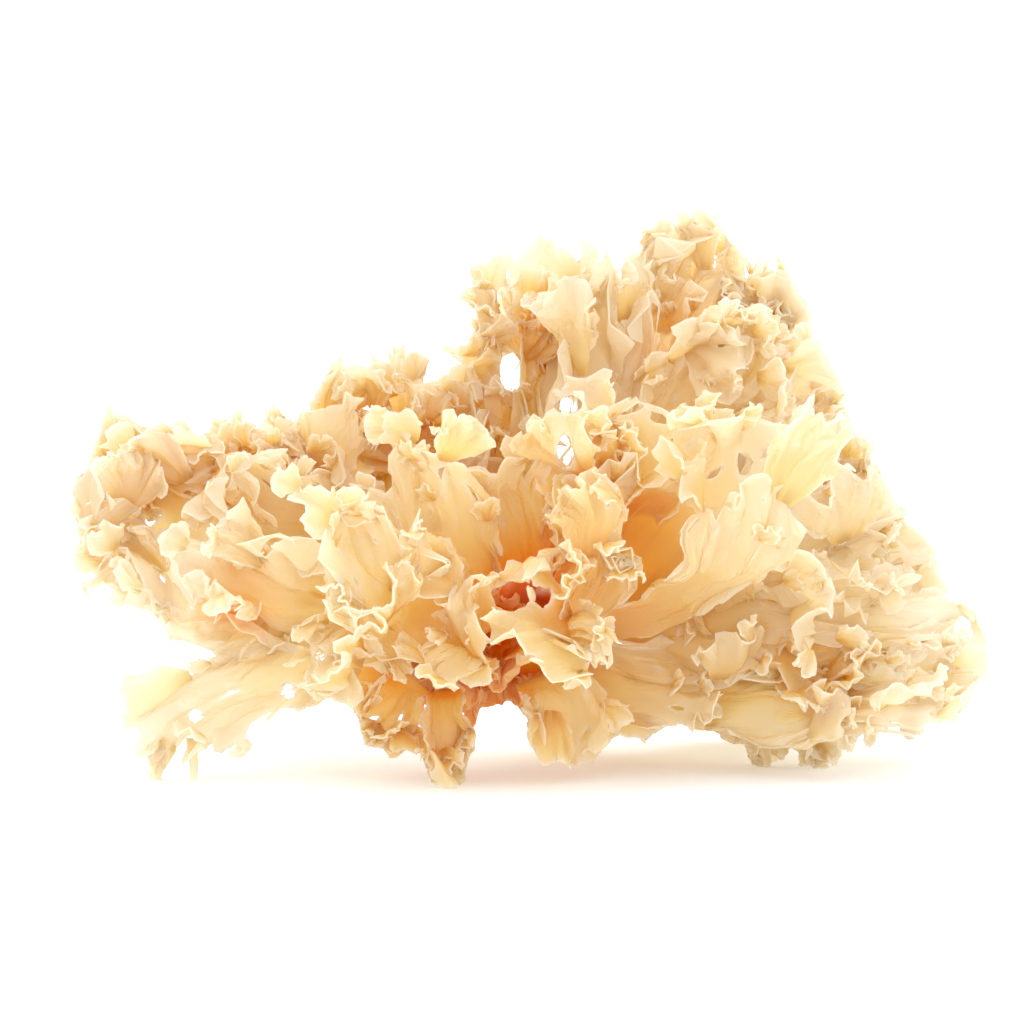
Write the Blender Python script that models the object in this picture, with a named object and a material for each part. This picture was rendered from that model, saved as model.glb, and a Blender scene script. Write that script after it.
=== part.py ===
"""A dried snow fungus: a tough base, and thin ruffled fronds that fan out from it on all sides.

Lengths are in millimetres until a mesh is made. +X is to the right, +Y away from the viewer, +Z up.
The origin is on the floor, under the middle of the clump.
"""

import math

import bpy
import numpy as np
from mathutils import Matrix, Vector

MM = 0.001
# What brings the middle of the clump's box over the origin.
MIDDLE_TO_ORIGIN = (-1.85, -5.40)

# The thickness is a little over life size, so that each frond is a sound solid.
SHEET_THICKNESS = 1.1
ROOT_THICKENING = 1.6
ROOT_HALF_WIDTH = 1.4
GAP = 0.45
SHEET_ROWS = 4
ROW_CROWDING = 0.8
SPOKES_PER_WAVE = 2.4
LEAST_SPOKES = 7

# Where along the spine a frond looks the way its face is given.
FACING_PLACE = 0.7
FACING_KNOTS = 41
OWN_NORMAL_EASING = 1.0

LOBES = 3.0
LOBE_DEPTH = 0.14
# Which row of the noise the lobes are read from.
LOBE_ROW = 0.37
CORNER_SHARE = 0.16
CORNER_CUT = 0.3
BILLOW_CELL = 19.0
BILLOW_HEIGHT = 3.2
BILLOW_RISE = 1.6
RUFFLE_RISE = 1.7
RUFFLE_WOBBLE = 0.5
WOBBLE_PER_WAVE = 0.7
WOBBLE_PER_LENGTH = 1.3
RUFFLE_LEVEL = 0.7
RUFFLE_UNEVENNESS = 0.7
UNEVENNESS_PER_WAVE = 0.5
UNEVENNESS_PER_LENGTH = 1.1
NOISE_GAIN = 1.45

BASE_CENTRE = (-4.5, 1.0, 16.5)
BASE_RADII = (10.5, 7.0, 6.2)
BASE_LUMP_CELL = 6.0
BASE_LUMP_HEIGHT = 0.14
BASE_SEED = 7

FLOOR_CUTTER_SIDE = 400.0
FLOOR_CUTTER_DEPTH = 40.0

FROND_COLOUR = (0.94, 0.79, 0.52, 1.0)
FROND_ROUGHNESS = 0.5
BASE_COLOUR = (0.45, 0.13, 0.02, 1.0)
BASE_ROUGHNESS = 0.6


def frond(spine, half, spread, face, cup, waves, ruffle, seed):
    """One frond: its spine from the root to the tip, half its width, how far round it spreads
    in degrees, where its front looks, and how much it cups and ruffles."""
    return {
        "spine": spine, "half": half, "spread": spread, "face": face,
        "cup": cup, "waves": waves, "ruffle": ruffle, "seed": seed,
    }


# Earlier fronds keep their whole shape, and a later one stops short of what it would cross.
FRONDS = {
    "left_frond": frond(
        [(-15.5, -0.5, 18.5), (-27.5, -8, 24.5), (-39.5, -12, 30), (-55, -6, 31)],
        half=15, spread=66, face=(0.1, -1, 0.2), cup=0.5, waves=3.5, ruffle=3, seed=11),
    "upper_left_frond": frond(
        [(-15.5, 2, 20), (-28, 2, 27.5), (-39.5, 2, 35.5), (-49, -2, 43)],
        half=8, spread=50, face=(0.3, -1, 0.7), cup=-0.6, waves=3, ruffle=2.4, seed=12),
    "inner_left_frond": frond(
        [(-15, -3.5, 18.5), (-27, -17, 21.5), (-33, -22, 23), (-38, -20, 26)],
        half=7, spread=66, face=(0, -1, -0.6), cup=-0.9, waves=2, ruffle=1.6, seed=13),
    "lower_left_frond": frond(
        [(-14.5, -4, 13.5), (-24.5, -12, 15), (-34, -15.5, 10.5), (-42.5, -12, 0.5)],
        half=7, spread=42, face=(-0.2, -1, -0.2), cup=0.4, waves=2.5, ruffle=1.8, seed=21),
    "left_underside_frond": frond(
        [(-14, -1.5, 12), (-20, -1.5, 13), (-25, -0.5, 11.5), (-28, 1, 7)],
        half=4, spread=52, face=(-0.2, -1, 0.2), cup=0.5, waves=2, ruffle=1.2, seed=22),
    "front_left_tall_frond": frond(
        [(-9, -5.5, 19), (-8.5, -16, 23.5), (-11, -20, 31), (-15, -17, 41.5)],
        half=8.5, spread=52, face=(-0.2, -1, 0.1), cup=0.5, waves=2.5, ruffle=2, seed=31),
    "front_left_frond": frond(
        [(-8, -8.5, 17), (-12.5, -24, 19), (-16, -32, 25), (-20.5, -29, 34)],
        half=9, spread=56, face=(-0.1, -1, 0.3), cup=0.8, waves=2.5, ruffle=2, seed=32),
    "front_left_low_frond": frond(
        [(-11.5, -7, 16.5), (-14, -20, 19.5), (-19.5, -24, 18.5), (-24, -20, 14)],
        half=6, spread=60, face=(0, -1, 0.5), cup=-0.7, waves=2, ruffle=1.5, seed=33),
    "left_ridge_frond": frond(
        [(-11, 1.5, 24), (-18.5, 7, 28.5), (-23, 11, 38.5), (-27.5, 12, 44)],
        half=10, spread=60, face=(0.1, -0.6, 0.7), cup=0.4, waves=3, ruffle=2.4, seed=41),
    "left_peak_frond": frond(
        [(-7.5, 4, 24.5), (-14, 10, 31), (-15, 13, 40.5), (-16.5, 14, 50.5)],
        half=8.5, spread=55, face=(0, -1, 0.3), cup=-0.5, waves=3, ruffle=2.4, seed=42),
    "left_saddle_frond": frond(
        [(-12.5, -1.5, 23.5), (-22, 0, 26.5), (-28, -2, 32.5), (-33.5, -1, 39.5)],
        half=8.5, spread=62, face=(0.2, -1, 0.1), cup=0.6, waves=3, ruffle=2.2, seed=43),
    "crown_frond": frond(
        [(-4, 3, 24.5), (-2, 9, 29.5), (-1.5, 11, 42), (-1.5, 11, 60.5)],
        half=8, spread=48, face=(0, -1, 0.2), cup=0.5, waves=3, ruffle=2.4, seed=51),
    "crown_right_frond": frond(
        [(-0.5, 6, 24), (2, 12, 32), (4, 15, 42), (5, 17, 60)],
        half=4.8, spread=32, face=(0.3, -1, 0), cup=0.7, waves=1.5, ruffle=1.4, seed=52),
    "crown_back_frond": frond(
        [(-6, 6, 24.5), (-6.5, 15, 30.5), (-7, 21, 44.5), (-8, 24, 55.5)],
        half=7, spread=52, face=(0, -1, 0.5), cup=-0.4, waves=2.5, ruffle=2.2, seed=53),
    "crest_left_frond": frond(
        [(2, 1.5, 24), (8, 3, 32.5), (10, 1, 47), (11, 3, 61.5)],
        half=7.5, spread=42, face=(0, -1, 0), cup=0.3, waves=1.5, ruffle=1.2, seed=61),
    "crest_frond": frond(
        [(3.5, 2.5, 23.5), (14, 9, 34.5), (18, 10, 52), (20.5, 10, 67.5)],
        half=9, spread=48, face=(0.1, -1, 0.2), cup=0.6, waves=2.5, ruffle=2.2, seed=62),
    "crest_right_frond": frond(
        [(6, 3.5, 22.5), (19.5, 12, 37), (26.5, 14, 50.5), (33.5, 14, 61)],
        half=9.5, spread=52, face=(0, -1, 0.3), cup=0.4, waves=3.5, ruffle=2.4, seed=63),
    "crest_front_frond": frond(
        [(5.5, 0, 22), (16.5, -3, 37.5), (23.5, -6, 46), (28.5, -6, 53.5)],
        half=7.5, spread=56, face=(0, -1, 0.3), cup=0.6, waves=3, ruffle=2, seed=64),
    "shelf_frond": frond(
        [(6, -4, 20.5), (13.5, -12, 27), (19, -20, 35.5), (20, -23, 44.5)],
        half=15, spread=66, face=(0, -1, -0.3), cup=0.4, waves=3.5, ruffle=2.2, seed=71),
    "shelf_side_frond": frond(
        [(7, -5, 17), (21.5, -20, 19.5), (24, -26, 26.5), (25.5, -26, 35.5)],
        half=6, spread=42, face=(0.2, -1, 0), cup=0.7, waves=1.5, ruffle=1.2, seed=72),
    "center_frond": frond(
        [(0, -6.5, 20.5), (1.5, -12, 24.5), (1, -14, 30.5), (-0.5, -12, 40.5)],
        half=7.5, spread=50, face=(0, -1, 0.1), cup=0.5, waves=2.5, ruffle=1.8, seed=81),
    "center_right_frond": frond(
        [(2.5, -6.5, 20.5), (8.5, -17, 22.5), (8.5, -21, 29.5), (6.5, -20, 39)],
        half=6.5, spread=46, face=(-0.2, -1, 0), cup=0.6, waves=2, ruffle=1.4, seed=82),
    "center_low_frond": frond(
        [(3, -7, 18), (7.5, -21, 20.5), (11, -24, 25.5), (9, -23, 30)],
        half=4.5, spread=52, face=(0.4, -1, 0), cup=0.6, waves=1.5, ruffle=1.2, seed=83),
    "left_curl_frond": frond(
        [(-5.5, -8, 15), (-6, -24, 16), (-9.5, -27, 15.5), (-12.5, -25, 13.5)],
        half=4.5, spread=60, face=(0, -1, 0.6), cup=0.6, waves=2, ruffle=0.8, seed=91),
    "upper_curl_frond": frond(
        [(-3.5, -8.5, 17.5), (-3.5, -24, 18.5), (-4.5, -27, 22), (-5.5, -26, 26)],
        half=5, spread=60, face=(0.1, -1, 0.2), cup=0.4, waves=2, ruffle=1.2, seed=92),
    "right_curl_frond": frond(
        [(-1, -8, 15), (2.5, -24, 17.5), (6, -28, 20), (9, -27, 14.5)],
        half=4.5, spread=56, face=(0, -1, 0.5), cup=0.6, waves=2, ruffle=1, seed=93),
    "front_foot_frond": frond(
        [(-9, -5.5, 10), (-10, -14, 9.5), (-9, -16, 5), (-7, -16, -1.5)],
        half=4, spread=34, face=(0, -1, 0), cup=0.6, waves=1.5, ruffle=1.2, seed=101),
    "front_foot_side_frond": frond(
        [(-11.5, -4.5, 10.5), (-14, -12, 11), (-16, -13, 8), (-17.5, -11, 3.5)],
        half=5, spread=48, face=(0, -1, 0), cup=0.3, waves=2, ruffle=1.2, seed=102),
    "hanging_frond": frond(
        [(1.5, -5, 11.5), (5, -13, 10.5), (5.5, -16, 8), (6, -15, 3)],
        half=7, spread=56, face=(0, -1, 0), cup=0.4, waves=2.5, ruffle=1.4, seed=111),
    "bowl_lip_frond": frond(
        [(6, -3, 12.5), (11.5, -8, 12.5), (18.5, -11, 11), (26, -13, 10)],
        half=5.5, spread=64, face=(0, -1, 0.3), cup=0.6, waves=2.5, ruffle=1.4, seed=121),
    "bowl_frond": frond(
        [(7, -3, 14), (20, -6, 21), (30, -11, 21), (40, -11, 18.5)],
        half=9.5, spread=64, face=(0, -1, 0.1), cup=0.5, waves=3, ruffle=1.8, seed=124),
    "bowl_edge_frond": frond(
        [(7, -1.5, 12), (23.5, -7, 8), (34.5, -13, 7.5), (52, -13, 9)],
        half=5.2, spread=48, face=(0, -1, 0.4), cup=0.4, waves=1.5, ruffle=1.2, seed=136),
    "right_frond": frond(
        [(8, 0.5, 18), (26, 0, 25), (37, -1, 29), (47.5, 1, 33)],
        half=9.5, spread=58, face=(0, -1, 0.2), cup=0.4, waves=3, ruffle=2.2, seed=131),
    "lower_right_frond": frond(
        [(8, 0, 15), (27, -6, 17), (39.5, -11, 17), (51, -9, 19.5)],
        half=8, spread=54, face=(0, -1, 0.3), cup=0.5, waves=3, ruffle=2, seed=132),
    "upper_right_frond": frond(
        [(6.5, 5, 22.5), (24.5, 16, 32), (34, 22, 40.5), (41.5, 23, 48)],
        half=11.5, spread=60, face=(0, -1, 0.2), cup=0.5, waves=3.5, ruffle=2.6, seed=141),
    "right_shoulder_frond": frond(
        [(8.5, 4, 19.5), (26.5, 9, 25.5), (40.5, 10, 30.5), (48.5, 11, 32)],
        half=9, spread=58, face=(0, -0.5, 0.8), cup=-0.4, waves=3, ruffle=2.4, seed=142),
    "far_right_frond": frond(
        [(7.5, 5.5, 17), (27, 17, 19.5), (43, 23, 21), (56.5, 22, 20.5)],
        half=10, spread=58, face=(0, 0.4, 1), cup=0.5, waves=3.5, ruffle=2.4, seed=151),
    "far_right_low_frond": frond(
        [(7, 5.5, 14), (26.5, 8, 14), (44, 9, 10.5), (59, 9, 11.5)],
        half=8, spread=50, face=(0, -1, 0.1), cup=-0.4, waves=3, ruffle=2.2, seed=152),
    "right_foot_frond": frond(
        [(6, 2, 11), (24, 3, 8), (33.5, 3, 6.5), (37, 2, -2.5)],
        half=5.5, spread=50, face=(0, -1, 0), cup=0.4, waves=2.5, ruffle=1.6, seed=161),
    "back_left_frond": frond(
        [(-13.5, 6, 18), (-23, 20, 23), (-33.5, 28, 26.5), (-44, 29, 29.5)],
        half=12, spread=62, face=(0, 0.8, 0.8), cup=0.5, waves=3.5, ruffle=2.8, seed=171),
    "back_left_low_frond": frond(
        [(-12.5, 6, 14.5), (-19, 20, 11), (-26, 26, 10.5), (-32.5, 28, 12.5)],
        half=7, spread=50, face=(0, 1, 0), cup=0.4, waves=2.5, ruffle=2, seed=172),
    "back_middle_frond": frond(
        [(-5, 8, 20.5), (-7.5, 24, 26.5), (-8.5, 34, 36.5), (-10, 38, 43.5)],
        half=12, spread=62, face=(0, 1, 0.6), cup=0.5, waves=4, ruffle=2.8, seed=181),
    "back_crest_frond": frond(
        [(-1, 7.5, 21.5), (3, 17, 33), (8.5, 25, 45.5), (15, 30, 55.5)],
        half=11, spread=58, face=(0, 1, 0.4), cup=0.4, waves=3.5, ruffle=2.6, seed=182),
    "back_right_frond": frond(
        [(2.5, 8, 17), (13.5, 24, 24), (25.5, 33, 29), (36, 35, 34.5)],
        half=13, spread=62, face=(0, 0.8, 0.7), cup=0.5, waves=4, ruffle=2.8, seed=191),
    "back_right_low_frond": frond(
        [(1.5, 8, 13.5), (11, 20, 9), (21.5, 29, 7), (33.5, 32, 7)],
        half=7, spread=52, face=(0, 1, 0), cup=0.4, waves=3, ruffle=2.2, seed=192),
    "back_foot_frond": frond(
        [(-2.5, 6, 10), (3, 14, 8.5), (5.5, 19, 5), (5, 21, -2)],
        half=5, spread=45, face=(0, 1, 0), cup=0.4, waves=2, ruffle=1.4, seed=201),
}


def noise(points, seed):
    """Smooth noise of about -1 to 1 with one cell per unit, at points of shape (..., 2) or (..., 3)."""
    points = np.asarray(points, float)
    size = points.shape[-1]
    rng = np.random.default_rng(seed)
    shuffle = rng.permutation(256)
    slopes = rng.normal(size=(256, size))
    slopes /= np.linalg.norm(slopes, axis=1)[:, None]
    cell = np.floor(points).astype(int)
    inside = points - cell
    blend = inside ** 3 * (inside * (inside * 6 - 15) + 10)
    total = np.zeros(points.shape[:-1])
    for corner in range(2 ** size):
        step = np.array([(corner >> k) & 1 for k in range(size)])
        index = np.zeros(points.shape[:-1], int)
        for k in range(size):
            index = shuffle[(index + cell[..., k] + step[k]) & 255]
        share = np.prod(np.where(step, blend, 1 - blend), axis=-1)
        total += share * (slopes[index] * (inside - step)).sum(-1)
    return total * NOISE_GAIN


def unit(vectors):
    return vectors / np.maximum(np.linalg.norm(vectors, axis=-1), 1e-9)[..., None]


def bezier(points, t):
    """Places and directions along a cubic curve, which runs on straight past its ends."""
    points = np.asarray(points, float)
    held = np.clip(t, 0, 1)
    u = held[..., None]
    v = 1 - u
    place = v ** 3 * points[0] + 3 * v * v * u * points[1] + 3 * v * u * u * points[2] + u ** 3 * points[3]
    along = 3 * (v * v * (points[1] - points[0]) + 2 * v * u * (points[2] - points[1])
                 + u * u * (points[3] - points[2]))
    return place + along * (t - held)[..., None], along


def true_normals(grid, front):
    """The grid's own normals on its front side, eased into the broad form's where they part from it."""
    own = unit(np.cross(np.gradient(grid, axis=1), np.gradient(grid, axis=0)))
    trust = np.clip((own * front).sum(-1), 0, 1)
    return unit(own * trust[..., None] + front * OWN_NORMAL_EASING)


def square_to(vectors, tangents):
    return unit(vectors - (vectors * tangents).sum(-1)[..., None] * tangents)


def untwisted(spec, t, tangents):
    """Where the frond's front looks at each t: as asked at one place on the spine, and carried
    along it from there without twisting."""
    knots = np.linspace(0, 1, FACING_KNOTS)
    along = unit(bezier(spec["spine"], knots)[1])
    set_at = round(FACING_PLACE * (FACING_KNOTS - 1))
    looks = np.zeros((FACING_KNOTS, 3))
    looks[set_at] = square_to(np.array(spec["face"], float), along[set_at])
    for k in range(set_at + 1, FACING_KNOTS):
        looks[k] = square_to(looks[k - 1], along[k])
    for k in range(set_at - 1, -1, -1):
        looks[k] = square_to(looks[k + 1], along[k])
    held = np.clip(t, 0, 1)
    return square_to(np.stack([np.interp(held, knots, looks[:, k]) for k in range(3)], -1), tangents)


def outline(s, seed):
    """How far the fan reaches along each of its rays, about 1, in a few broad lobes."""
    lobes = np.stack([s * LOBES, np.full_like(s, LOBE_ROW)], -1)
    corner = np.clip(np.minimum(s, 1 - s) / CORNER_SHARE, 0, 1)
    return (1 + LOBE_DEPTH * noise(lobes, [seed, 1])) * (1 - CORNER_CUT * (1 - corner) ** 2)


def spread_out(spec, rr, ss):
    """The frond before it billows and ruffles: rays from its root, bent round like a shallow cup,
    and which way its front looks at each point."""
    half, spread, cup = spec["half"], math.radians(spec["spread"]), spec["cup"]
    theta = spread * (2 * ss - 1)
    reach = rr * outline(ss, spec["seed"])
    place, along = bezier(spec["spine"], reach * np.cos(theta))
    across = (ROOT_HALF_WIDTH * (1 - rr) + half * reach) * np.sin(theta) / math.sin(spread)
    tangent = unit(along)
    normal = untwisted(spec, reach * np.cos(theta), tangent)
    side = np.cross(tangent, normal)
    bend = cup * across / half
    place = place + side * (half * np.sin(bend) / cup)[..., None]
    place = place + normal * (half * (1 - np.cos(bend)) / cup)[..., None]
    return place, normal * np.cos(bend)[..., None] - side * np.sin(bend)[..., None]


def billowed(place, front, rr, seed):
    """The sheet moved in and out by broad swells, which fade out at the root."""
    swell = noise(place / BILLOW_CELL + seed, [seed, 5]) * np.clip(rr * BILLOW_RISE, 0, 1)
    return place - front * (BILLOW_HEIGHT * swell)[..., None]


def ruffled(place, front, rr, ss, spec):
    """The sheet with its pleats, which grow towards the rim and are uneven in width and height."""
    seed, waves = spec["seed"], spec["waves"]
    uneven = np.stack([ss * waves * WOBBLE_PER_WAVE, rr * WOBBLE_PER_LENGTH], -1)
    phase = waves * ss + RUFFLE_WOBBLE * noise(uneven, [seed, 10])
    uneven = np.stack([ss * waves * UNEVENNESS_PER_WAVE, rr * UNEVENNESS_PER_LENGTH], -1)
    strength = RUFFLE_LEVEL + RUFFLE_UNEVENNESS * noise(uneven, [seed, 20])
    height = spec["ruffle"] * rr ** RUFFLE_RISE * strength * np.sin(2 * math.pi * phase)
    return place - front * height[..., None]


def frond_grid(spec):
    """The middle surface of a frond as a grid, rows from the root to the rim and spokes from side
    to side, with its normals and how thick the sheet is at each point."""
    spokes = max(LEAST_SPOKES, round(spec["waves"] * SPOKES_PER_WAVE) + 1)
    rows = np.linspace(0, 1, SHEET_ROWS) ** ROW_CROWDING
    rr, ss = np.meshgrid(rows, np.linspace(0, 1, spokes), indexing="ij")
    place, front = spread_out(spec, rr, ss)
    place = ruffled(billowed(place, front, rr, spec["seed"]), front, rr, ss, spec)
    thickness = SHEET_THICKNESS + ROOT_THICKENING * (1 - rr) ** 2
    return place, true_normals(place, front), thickness[..., None]


def mesh_object(name, points, faces):
    mesh = bpy.data.meshes.new(name)
    mesh.from_pydata([tuple(p) for p in np.asarray(points) * MM], [], [tuple(map(int, f)) for f in faces])
    mesh.update()
    made = bpy.data.objects.new(name, mesh)
    bpy.context.scene.collection.objects.link(made)
    return made


def shell(name, grid, normals, thickness, more=0.0):
    """A closed solid about the grid, with its whole surface moved out by more."""
    if more:
        wider = ((1, 1), (1, 1), (0, 0))
        grid, normals, thickness = (np.pad(a, wider, mode="edge") for a in (grid, normals, thickness))
        for edge, inner in ((0, 2), (-1, -3)):
            grid[edge] += more * unit(grid[edge] - grid[inner])
            grid[:, edge] += more * unit(grid[:, edge] - grid[:, inner])
    rows, spokes = grid.shape[:2]
    offset = normals * (thickness / 2 + more)
    points = np.concatenate([(grid + offset).reshape(-1, 3), (grid - offset).reshape(-1, 3)])
    index = np.arange(rows * spokes).reshape(rows, spokes)
    back = rows * spokes
    faces = []
    for i in range(rows - 1):
        for j in range(spokes - 1):
            a, b, c, d = index[i, j], index[i, j + 1], index[i + 1, j + 1], index[i + 1, j]
            halves = [(a, b, c), (a, c, d)] if (i + j) % 2 else [(a, b, d), (b, c, d)]
            faces += [half[::-1] for half in halves]
            faces += [tuple(k + back for k in half) for half in halves]
    ring = [*index[0, :], *index[1:, -1], *index[-1, -2::-1], *index[-2:0:-1, 0]]
    for a, b in zip(ring, ring[1:] + ring[:1]):
        faces += [(a, b, b + back), (a, b + back, a + back)]
    made = mesh_object(name, points, faces)
    if np.linalg.det(points[np.array(faces)]).sum() < 0:
        made.data.flip_normals()
    return made


def lump(name, centre, radii, seed, more=0.0):
    """A low, uneven ball."""
    bpy.ops.mesh.primitive_ico_sphere_add(subdivisions=3, radius=1)
    made = bpy.context.object
    made.name = name
    unit_points = np.array([v.co for v in made.data.vertices])
    points = unit_points * radii
    uneven = 1 + BASE_LUMP_HEIGHT * noise(points / BASE_LUMP_CELL + seed, [seed, 1])
    points = unit_points * (np.array(radii) + more) * uneven[:, None] + centre
    for vertex, point in zip(made.data.vertices, points):
        vertex.co = Vector(point) * MM
    return made


def cut(target, other):
    """Takes the other object's solid away from the target."""
    modifier = target.modifiers.new("cut", "BOOLEAN")
    modifier.operation = "DIFFERENCE"
    modifier.solver = "MANIFOLD"
    modifier.object = other
    graph = bpy.context.evaluated_depsgraph_get()
    fresh = bpy.data.meshes.new_from_object(target.evaluated_get(graph))
    target.modifiers.clear()
    old = target.data
    target.data = fresh
    bpy.data.meshes.remove(old)


def keep_largest_body(made):
    """Drops what a cut has parted from the frond."""
    mesh = made.data
    label = np.arange(len(mesh.vertices))
    edges = np.array([tuple(e.vertices) for e in mesh.edges])
    while True:
        low = np.minimum(label[edges[:, 0]], label[edges[:, 1]])
        fresh = label.copy()
        np.minimum.at(fresh, edges[:, 0], low)
        np.minimum.at(fresh, edges[:, 1], low)
        if (fresh == label).all():
            break
        label = fresh
    bodies = {}
    points = np.array([v.co for v in mesh.vertices])
    for polygon in mesh.polygons:
        corners = points[list(polygon.vertices)]
        volume = sum(np.linalg.det([corners[0], a, b]) for a, b in zip(corners[1:], corners[2:]))
        bodies.setdefault(label[polygon.vertices[0]], [0, []])
        bodies[label[polygon.vertices[0]]][0] += volume
        bodies[label[polygon.vertices[0]]][1].append(list(polygon.vertices))
    faces = max(bodies.values(), key=lambda body: body[0])[1]
    used = sorted({v for face in faces for v in face})
    place = {v: k for k, v in enumerate(used)}
    fresh = bpy.data.meshes.new(made.name)
    fresh.from_pydata([tuple(points[v]) for v in used], [], [[place[v] for v in face] for face in faces])
    made.data = fresh
    bpy.data.meshes.remove(mesh)


def floor_cutter():
    """A block under the floor, which leaves every foot flat where it stands."""
    bpy.ops.mesh.primitive_cube_add(size=1, location=(0, 0, -FLOOR_CUTTER_DEPTH * MM / 2))
    cutter = bpy.context.object
    size = (FLOOR_CUTTER_SIDE * MM, FLOOR_CUTTER_SIDE * MM, FLOOR_CUTTER_DEPTH * MM, 1)
    cutter.data.transform(Matrix.Diagonal(size))
    return cutter


def boxes_meet(one, two):
    a = np.array([v.co for v in one.data.vertices])
    b = np.array([v.co for v in two.data.vertices])
    return bool((a.min(0) < b.max(0)).all() and (b.min(0) < a.max(0)).all())


def principled(name, colour, roughness):
    material = bpy.data.materials.new(name)
    material.use_nodes = True
    shader = material.node_tree.nodes["Principled BSDF"]
    shader.inputs["Base Color"].default_value = colour
    shader.inputs["Roughness"].default_value = roughness
    shader.inputs["Metallic"].default_value = 0.0
    return material


def cut_frond(name, sheet, cutters, below):
    """The frond's sheet, stopped short of the base and earlier fronds, and flat where it stands."""
    body = shell(name, *sheet)
    for cutter in cutters:
        if boxes_meet(body, cutter):
            cut(body, cutter)
    cut(body, below)
    keep_largest_body(body)
    body.data.materials.append(principled(name + "_tissue", FROND_COLOUR, FROND_ROUGHNESS))
    return body


def build():
    for old in list(bpy.data.objects):
        bpy.data.objects.remove(old)
    base = lump("base", BASE_CENTRE, BASE_RADII, BASE_SEED)
    base.data.materials.append(principled("base_tissue", BASE_COLOUR, BASE_ROUGHNESS))
    parts = [base]
    below = floor_cutter()
    cutters = [lump("base_cutter", BASE_CENTRE, BASE_RADII, BASE_SEED, GAP)]
    for name, spec in FRONDS.items():
        sheet = frond_grid(spec)
        parts.append(cut_frond(name, sheet, cutters, below))
        cutters.append(shell(name + "_cutter", *sheet, GAP))
    for cutter in [below, *cutters]:
        bpy.data.objects.remove(cutter)
    for part in parts:
        part.location = (MIDDLE_TO_ORIGIN[0] * MM, MIDDLE_TO_ORIGIN[1] * MM, 0)


build()
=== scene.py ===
"""How the dried snow fungus looks: each frond a thin, pleated, lace-edged sheet in place of its solid.

Lengths are in millimetres until a mesh is made. +X is to the right, +Y away from the viewer, +Z up.
On a sheet, outward runs from 0 at its root to 1 at its rim, and across from 0 to 1, side to side.
"""

import math

import bmesh
import bpy
import numpy as np
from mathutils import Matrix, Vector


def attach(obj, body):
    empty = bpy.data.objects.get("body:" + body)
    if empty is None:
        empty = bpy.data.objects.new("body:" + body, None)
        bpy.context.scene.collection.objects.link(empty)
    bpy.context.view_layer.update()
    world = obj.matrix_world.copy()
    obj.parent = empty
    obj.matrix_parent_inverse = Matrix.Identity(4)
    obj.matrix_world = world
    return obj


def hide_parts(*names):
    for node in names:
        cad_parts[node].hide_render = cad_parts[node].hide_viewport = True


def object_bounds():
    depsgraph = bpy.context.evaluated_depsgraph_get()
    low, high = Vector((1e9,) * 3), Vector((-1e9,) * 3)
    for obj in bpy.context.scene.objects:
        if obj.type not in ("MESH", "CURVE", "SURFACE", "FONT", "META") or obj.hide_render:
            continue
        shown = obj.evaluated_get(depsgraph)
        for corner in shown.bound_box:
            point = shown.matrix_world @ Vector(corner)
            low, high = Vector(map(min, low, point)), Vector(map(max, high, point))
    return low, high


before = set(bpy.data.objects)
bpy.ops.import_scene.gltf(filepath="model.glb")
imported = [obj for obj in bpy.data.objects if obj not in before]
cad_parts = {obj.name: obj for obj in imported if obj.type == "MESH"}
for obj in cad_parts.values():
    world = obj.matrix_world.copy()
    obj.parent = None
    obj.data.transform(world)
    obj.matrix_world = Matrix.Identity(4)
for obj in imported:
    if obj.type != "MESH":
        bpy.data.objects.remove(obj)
CAD_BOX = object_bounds()

MM = 0.001
TINY = 1e-9
# Moves the clump, drawn where the photo shows it, to the middle of the frame.
MIDDLE_TO_ORIGIN = np.array([-1.85, -5.40, 0.0])

# Smooth noise: how many slopes it draws from, and what brings it to about -1 to 1.
NOISE_SLOPES = 256
NOISE_GAIN = 1.45

# The broad form, the same as the solids'.
ROOT_HALF_WIDTH = 1.4
ROOT_SHARE = 0.38
ROW_CROWDING = 0.62
FACING_PLACE = 0.7
FACING_KNOTS = 41
LENGTH_STEPS = 24
OWN_NORMAL_EASING = 0.3
OUTLINE_LOBES = 3.0
OUTLINE_DEPTH = 0.14
OUTLINE_ROW = 0.37
CORNER_SHARE = 0.16
CORNER_CUT = 0.3
BILLOW_CELL = 19.0
BILLOW_HEIGHT = 3.2
BILLOW_RISE = 1.6
RUFFLE_RISE = 1.7
RUFFLE_WOBBLE = 0.5
WOBBLE_CELLS = (0.7, 1.3)
RUFFLE_LEVEL = 0.7
RUFFLE_UNEVENNESS = 0.7
UNEVENNESS_CELLS = (0.5, 1.1)

# The outline's fine lobes for each broad one, and its clefts' places, widths and depths.
FINE_OUTLINE = 3.1
CLEFTS = ((0.12, 0.88), (0.02, 0.05), (0.08, 0.24))

# The grid: triangle sizes near and far, their stretch, and the fewest and most rows and spokes.
CELL = 0.75
FAR_CELL = 1.2
ROW_STRETCH = 1.3
ARC_PER_WIDTH = 1.75
MAIN_ROWS = (24, 56)
MAIN_SPOKES = (36, 120)
SPOKES_PER_FINE_WAVE = 5

# How many times the broad pleats, how high beside them, and how much later they rise.
PLEATS = ((1, 1, 0), (2.3, 0.52, 1.2), (4.9, 0.42, 4), (9.5, 0.18, 9))
FINE_WOBBLE = 0.6
PLEAT_SKEW = 0.55
# How far pleats fold over, how much later than they rise, and how high one is that folds in full.
FOLD_OVER = 0.42
FOLD_RISE = 0.6
FULL_FOLD = 0.12

# The curled rim: its share of the sheet, its uneven stretches, and how it turns.
CURL_SHARE = 0.26
CURL_CELLS = (1.3, 0.8)
CURL_SHIFT = (3, 0)
CURL_LEAN = 0.3
CURL_UNEVENNESS = 1.5
CURL_TURN = 1.8
LEAST_CURL = 1e-4
CURL = 0.65

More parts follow.
